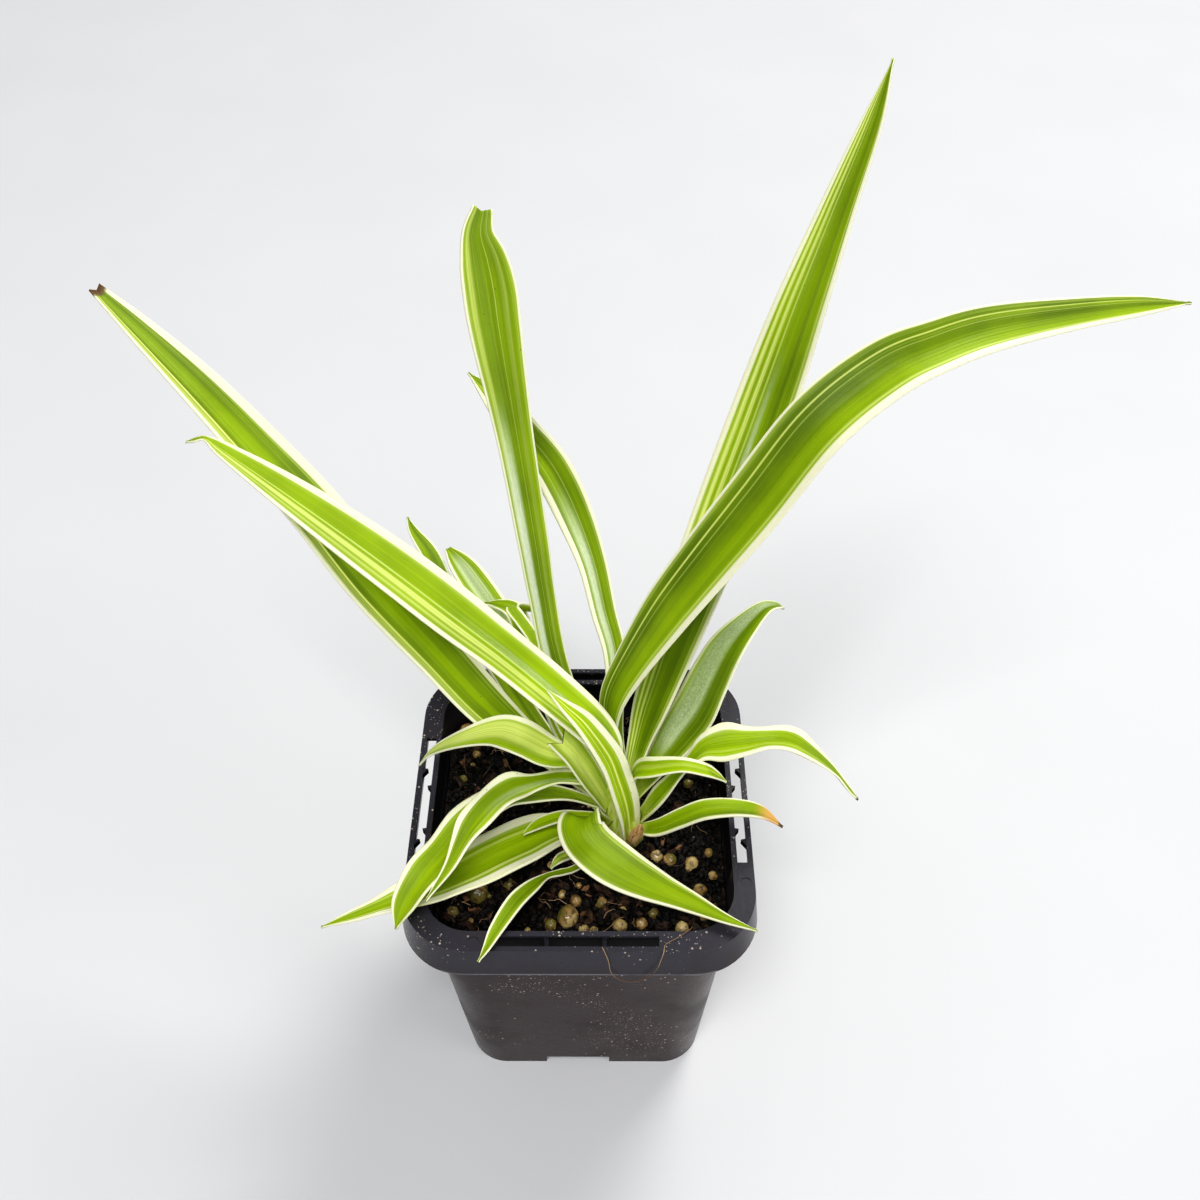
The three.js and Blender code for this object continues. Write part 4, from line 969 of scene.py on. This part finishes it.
def scattered_places(chance, count, edge):
    """Places on the mix inside its walls and clear of the crown."""
    half = body_width(SOIL_LEVEL) / 2 - WALL - edge
    places = []
    while len(places) < count:
        x, y = chance.uniform(-half, half), chance.uniform(-half, half)
        angle = math.atan2(y, x)
        if math.hypot(x, y) < square_reach(angle, half, MOUTH_CORNER - edge) \
                and math.hypot(x - CROWN_PLACE[0], y - CROWN_PLACE[1]) > CROWN_CLEARANCE:
            places.append((x, y))
    return places


def random_turn(chance, tilt=0.6):
    """Any turn about the upright and a limited tilt."""
    return (Matrix.Rotation(chance.uniform(0, 2 * math.pi), 3, "Z")
            @ Matrix.Rotation(chance.uniform(-tilt, tilt), 3, "X")
            @ Matrix.Rotation(chance.uniform(-tilt, tilt), 3, "Y"))


def make_crumbs(material):
    """Crumbs of peat, most of them fine and a few coarse."""
    chance = random.Random(4)
    mesh = bmesh.new()
    for x, y in scattered_places(chance, CRUMB_COUNT, 1.2):
        size = 0.3 + 1.15 * chance.random() ** 4
        lump(mesh, (x, y, soil_height(x, y) + 0.3 * size + 0.2), (size, size * 0.8, size * 0.7),
             random_turn(chance), 1.1, chance.uniform(0, 50), 1)
    return finished_piece("soil_crumbs", mesh, material)


def make_bark(material):
    """Flat chips of bark with sharp faces."""
    chance = random.Random(9)
    mesh = bmesh.new()
    for x, y in scattered_places(chance, BARK_COUNT, 3.2):
        size = chance.uniform(0.7, 2.5)
        flat = chance.uniform(0.25, 0.5)
        lump(mesh, (x, y, soil_height(x, y) + 0.5),
             (size, size * chance.uniform(0.4, 0.7), size * flat),
             random_turn(chance, 0.8), 0.9, chance.uniform(0, 50))
    return finished_piece("bark_chips", mesh, material, smooth=False)


def make_prills(material):
    """The large prills in their places and small ones scattered between them."""
    chance = random.Random(21)
    mesh = bmesh.new()
    for x, y, radius in PRILLS:
        shape = (radius, radius * chance.uniform(0.76, 1), radius * chance.uniform(0.84, 0.98))
        lump(mesh, (x, y, soil_height(x, y) + 0.42 * radius), shape, random_turn(chance, 1.2),
             0.13, chance.uniform(0, 50), 4)
    for x, y in scattered_places(chance, SMALL_PRILL_COUNT, 2.5):
        radius = chance.uniform(0.7, 1.4)
        lump(mesh, (x, y, soil_height(x, y) + 0.4 * radius), (radius, radius, radius * 0.9),
             random_turn(chance, 1.2), 0.16, chance.uniform(0, 50), 3)
    return finished_piece("fertiliser_prills", mesh, material)


def fibre(mesh, points, radius):
    """A fibre of even thickness along a smooth curve through points."""
    part = bmesh.new()
    steps = 6 * (len(points) - 1)
    bmesh.ops.create_circle(part, cap_ends=True, segments=6, radius=radius * MM)
    last = Vector((0, 0, 1))
    centre = Vector((0, 0, 0))
    faces = part.faces[:]
    for i in range(steps + 1):
        place, slope = curve_through(points, i / steps)
        place, slope = Vector(place) * MM, Vector(slope).normalized()
        turn = last.rotation_difference(slope).to_matrix()
        if i:
            raised = bmesh.ops.extrude_discrete_faces(part, faces=faces)
            faces = raised["faces"]
        verts = list({v for f in faces for v in f.verts})
        bmesh.ops.translate(part, verts=verts, vec=place - centre)
        bmesh.ops.rotate(part, verts=verts, cent=place, matrix=turn)
        last, centre = slope, place
    join(mesh, part)


def make_root_fibres(material):
    """The fibre over the rim and short ones that lie on the mix."""
    mesh = bmesh.new()
    fibre(mesh, RIM_FIBRE, 0.11)
    chance = random.Random(5)
    for x, y in scattered_places(chance, FIBRE_COUNT, 4):
        turn = chance.uniform(0, 2 * math.pi)
        reach = chance.uniform(1, 3.6)
        ends = []
        for k in (-1, -0.3, 0.3, 1):
            px = x + k * reach * math.cos(turn) + chance.uniform(-0.8, 0.8)
            py = y + k * reach * math.sin(turn) + chance.uniform(-0.8, 0.8)
            px, py = (max(-FIBRE_EDGE, min(FIBRE_EDGE, p)) for p in (px, py))
            ends.append((px, py, soil_height(px, py) + 0.8 + 0.6 * (1 - k * k)))
        fibre(mesh, ends, chance.uniform(0.05, 0.11))
    return finished_piece("root_fibres", mesh, material)


# ---------------- crown
def make_crown(material):
    """The stub of wrapped leaf bases, with ridges that wind up it where the sheaths overlap."""
    mesh = bmesh.new()
    bmesh.ops.create_grid(mesh, x_segments=96, y_segments=90, size=1)
    for vert in mesh.verts:
        turn = vert.co.x * math.pi
        (height, radius, cx, cy), _ = curve_through(CROWN_ROWS, (vert.co.y + 1) / 2)
        ridge = 1 + 0.05 * math.cos(5 * turn + height / 5) + 0.02 * math.sin(13 * turn)
        vert.co = Vector((cx + radius * ridge * math.cos(turn),
                          cy + 0.86 * radius * ridge * math.sin(turn), height)) * MM
    bmesh.ops.remove_doubles(mesh, verts=mesh.verts, dist=1e-6)
    bmesh.ops.holes_fill(mesh, edges=mesh.edges)
    bmesh.ops.recalc_face_normals(mesh, faces=mesh.faces)
    return finished_piece("crown_sheath", mesh, material)


# ---------------- the whole plant
place_camera()
light_scene()

pot = make_pot(plastic_finish())
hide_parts("pot")

bed = make_soil(soil_finish())
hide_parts("soil")
crumbs = make_crumbs(bed.data.materials[0])
bark = make_bark(bark_finish())
prills = make_prills(prill_finish())
roots = make_root_fibres(root_finish())

crown = make_crown(crown_finish())
scale = blade("papery_scale", SCALE_LEAF, paper_scale_finish(), 12, 12, 0.3)
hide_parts("crown")

pieces = [pot, bed, crumbs, bark, prills, roots, crown, scale]
for number, (name, leaf) in enumerate(LEAVES.items()):
    seed = 3.7 * number + 1.3
    finish = leaf_finish(name.replace("leaf", "variegated"), seed, **MARKINGS[name])
    piece = blade(name + "_blade", leaf, finish)
    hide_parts(name)
    pieces.append(piece)
for piece in pieces:
    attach(piece, "root")

ground = bmesh.new()
bmesh.ops.create_grid(ground, x_segments=1, y_segments=1, size=4)
floor = finished_piece("floor", ground, floor_finish(), smooth=False)
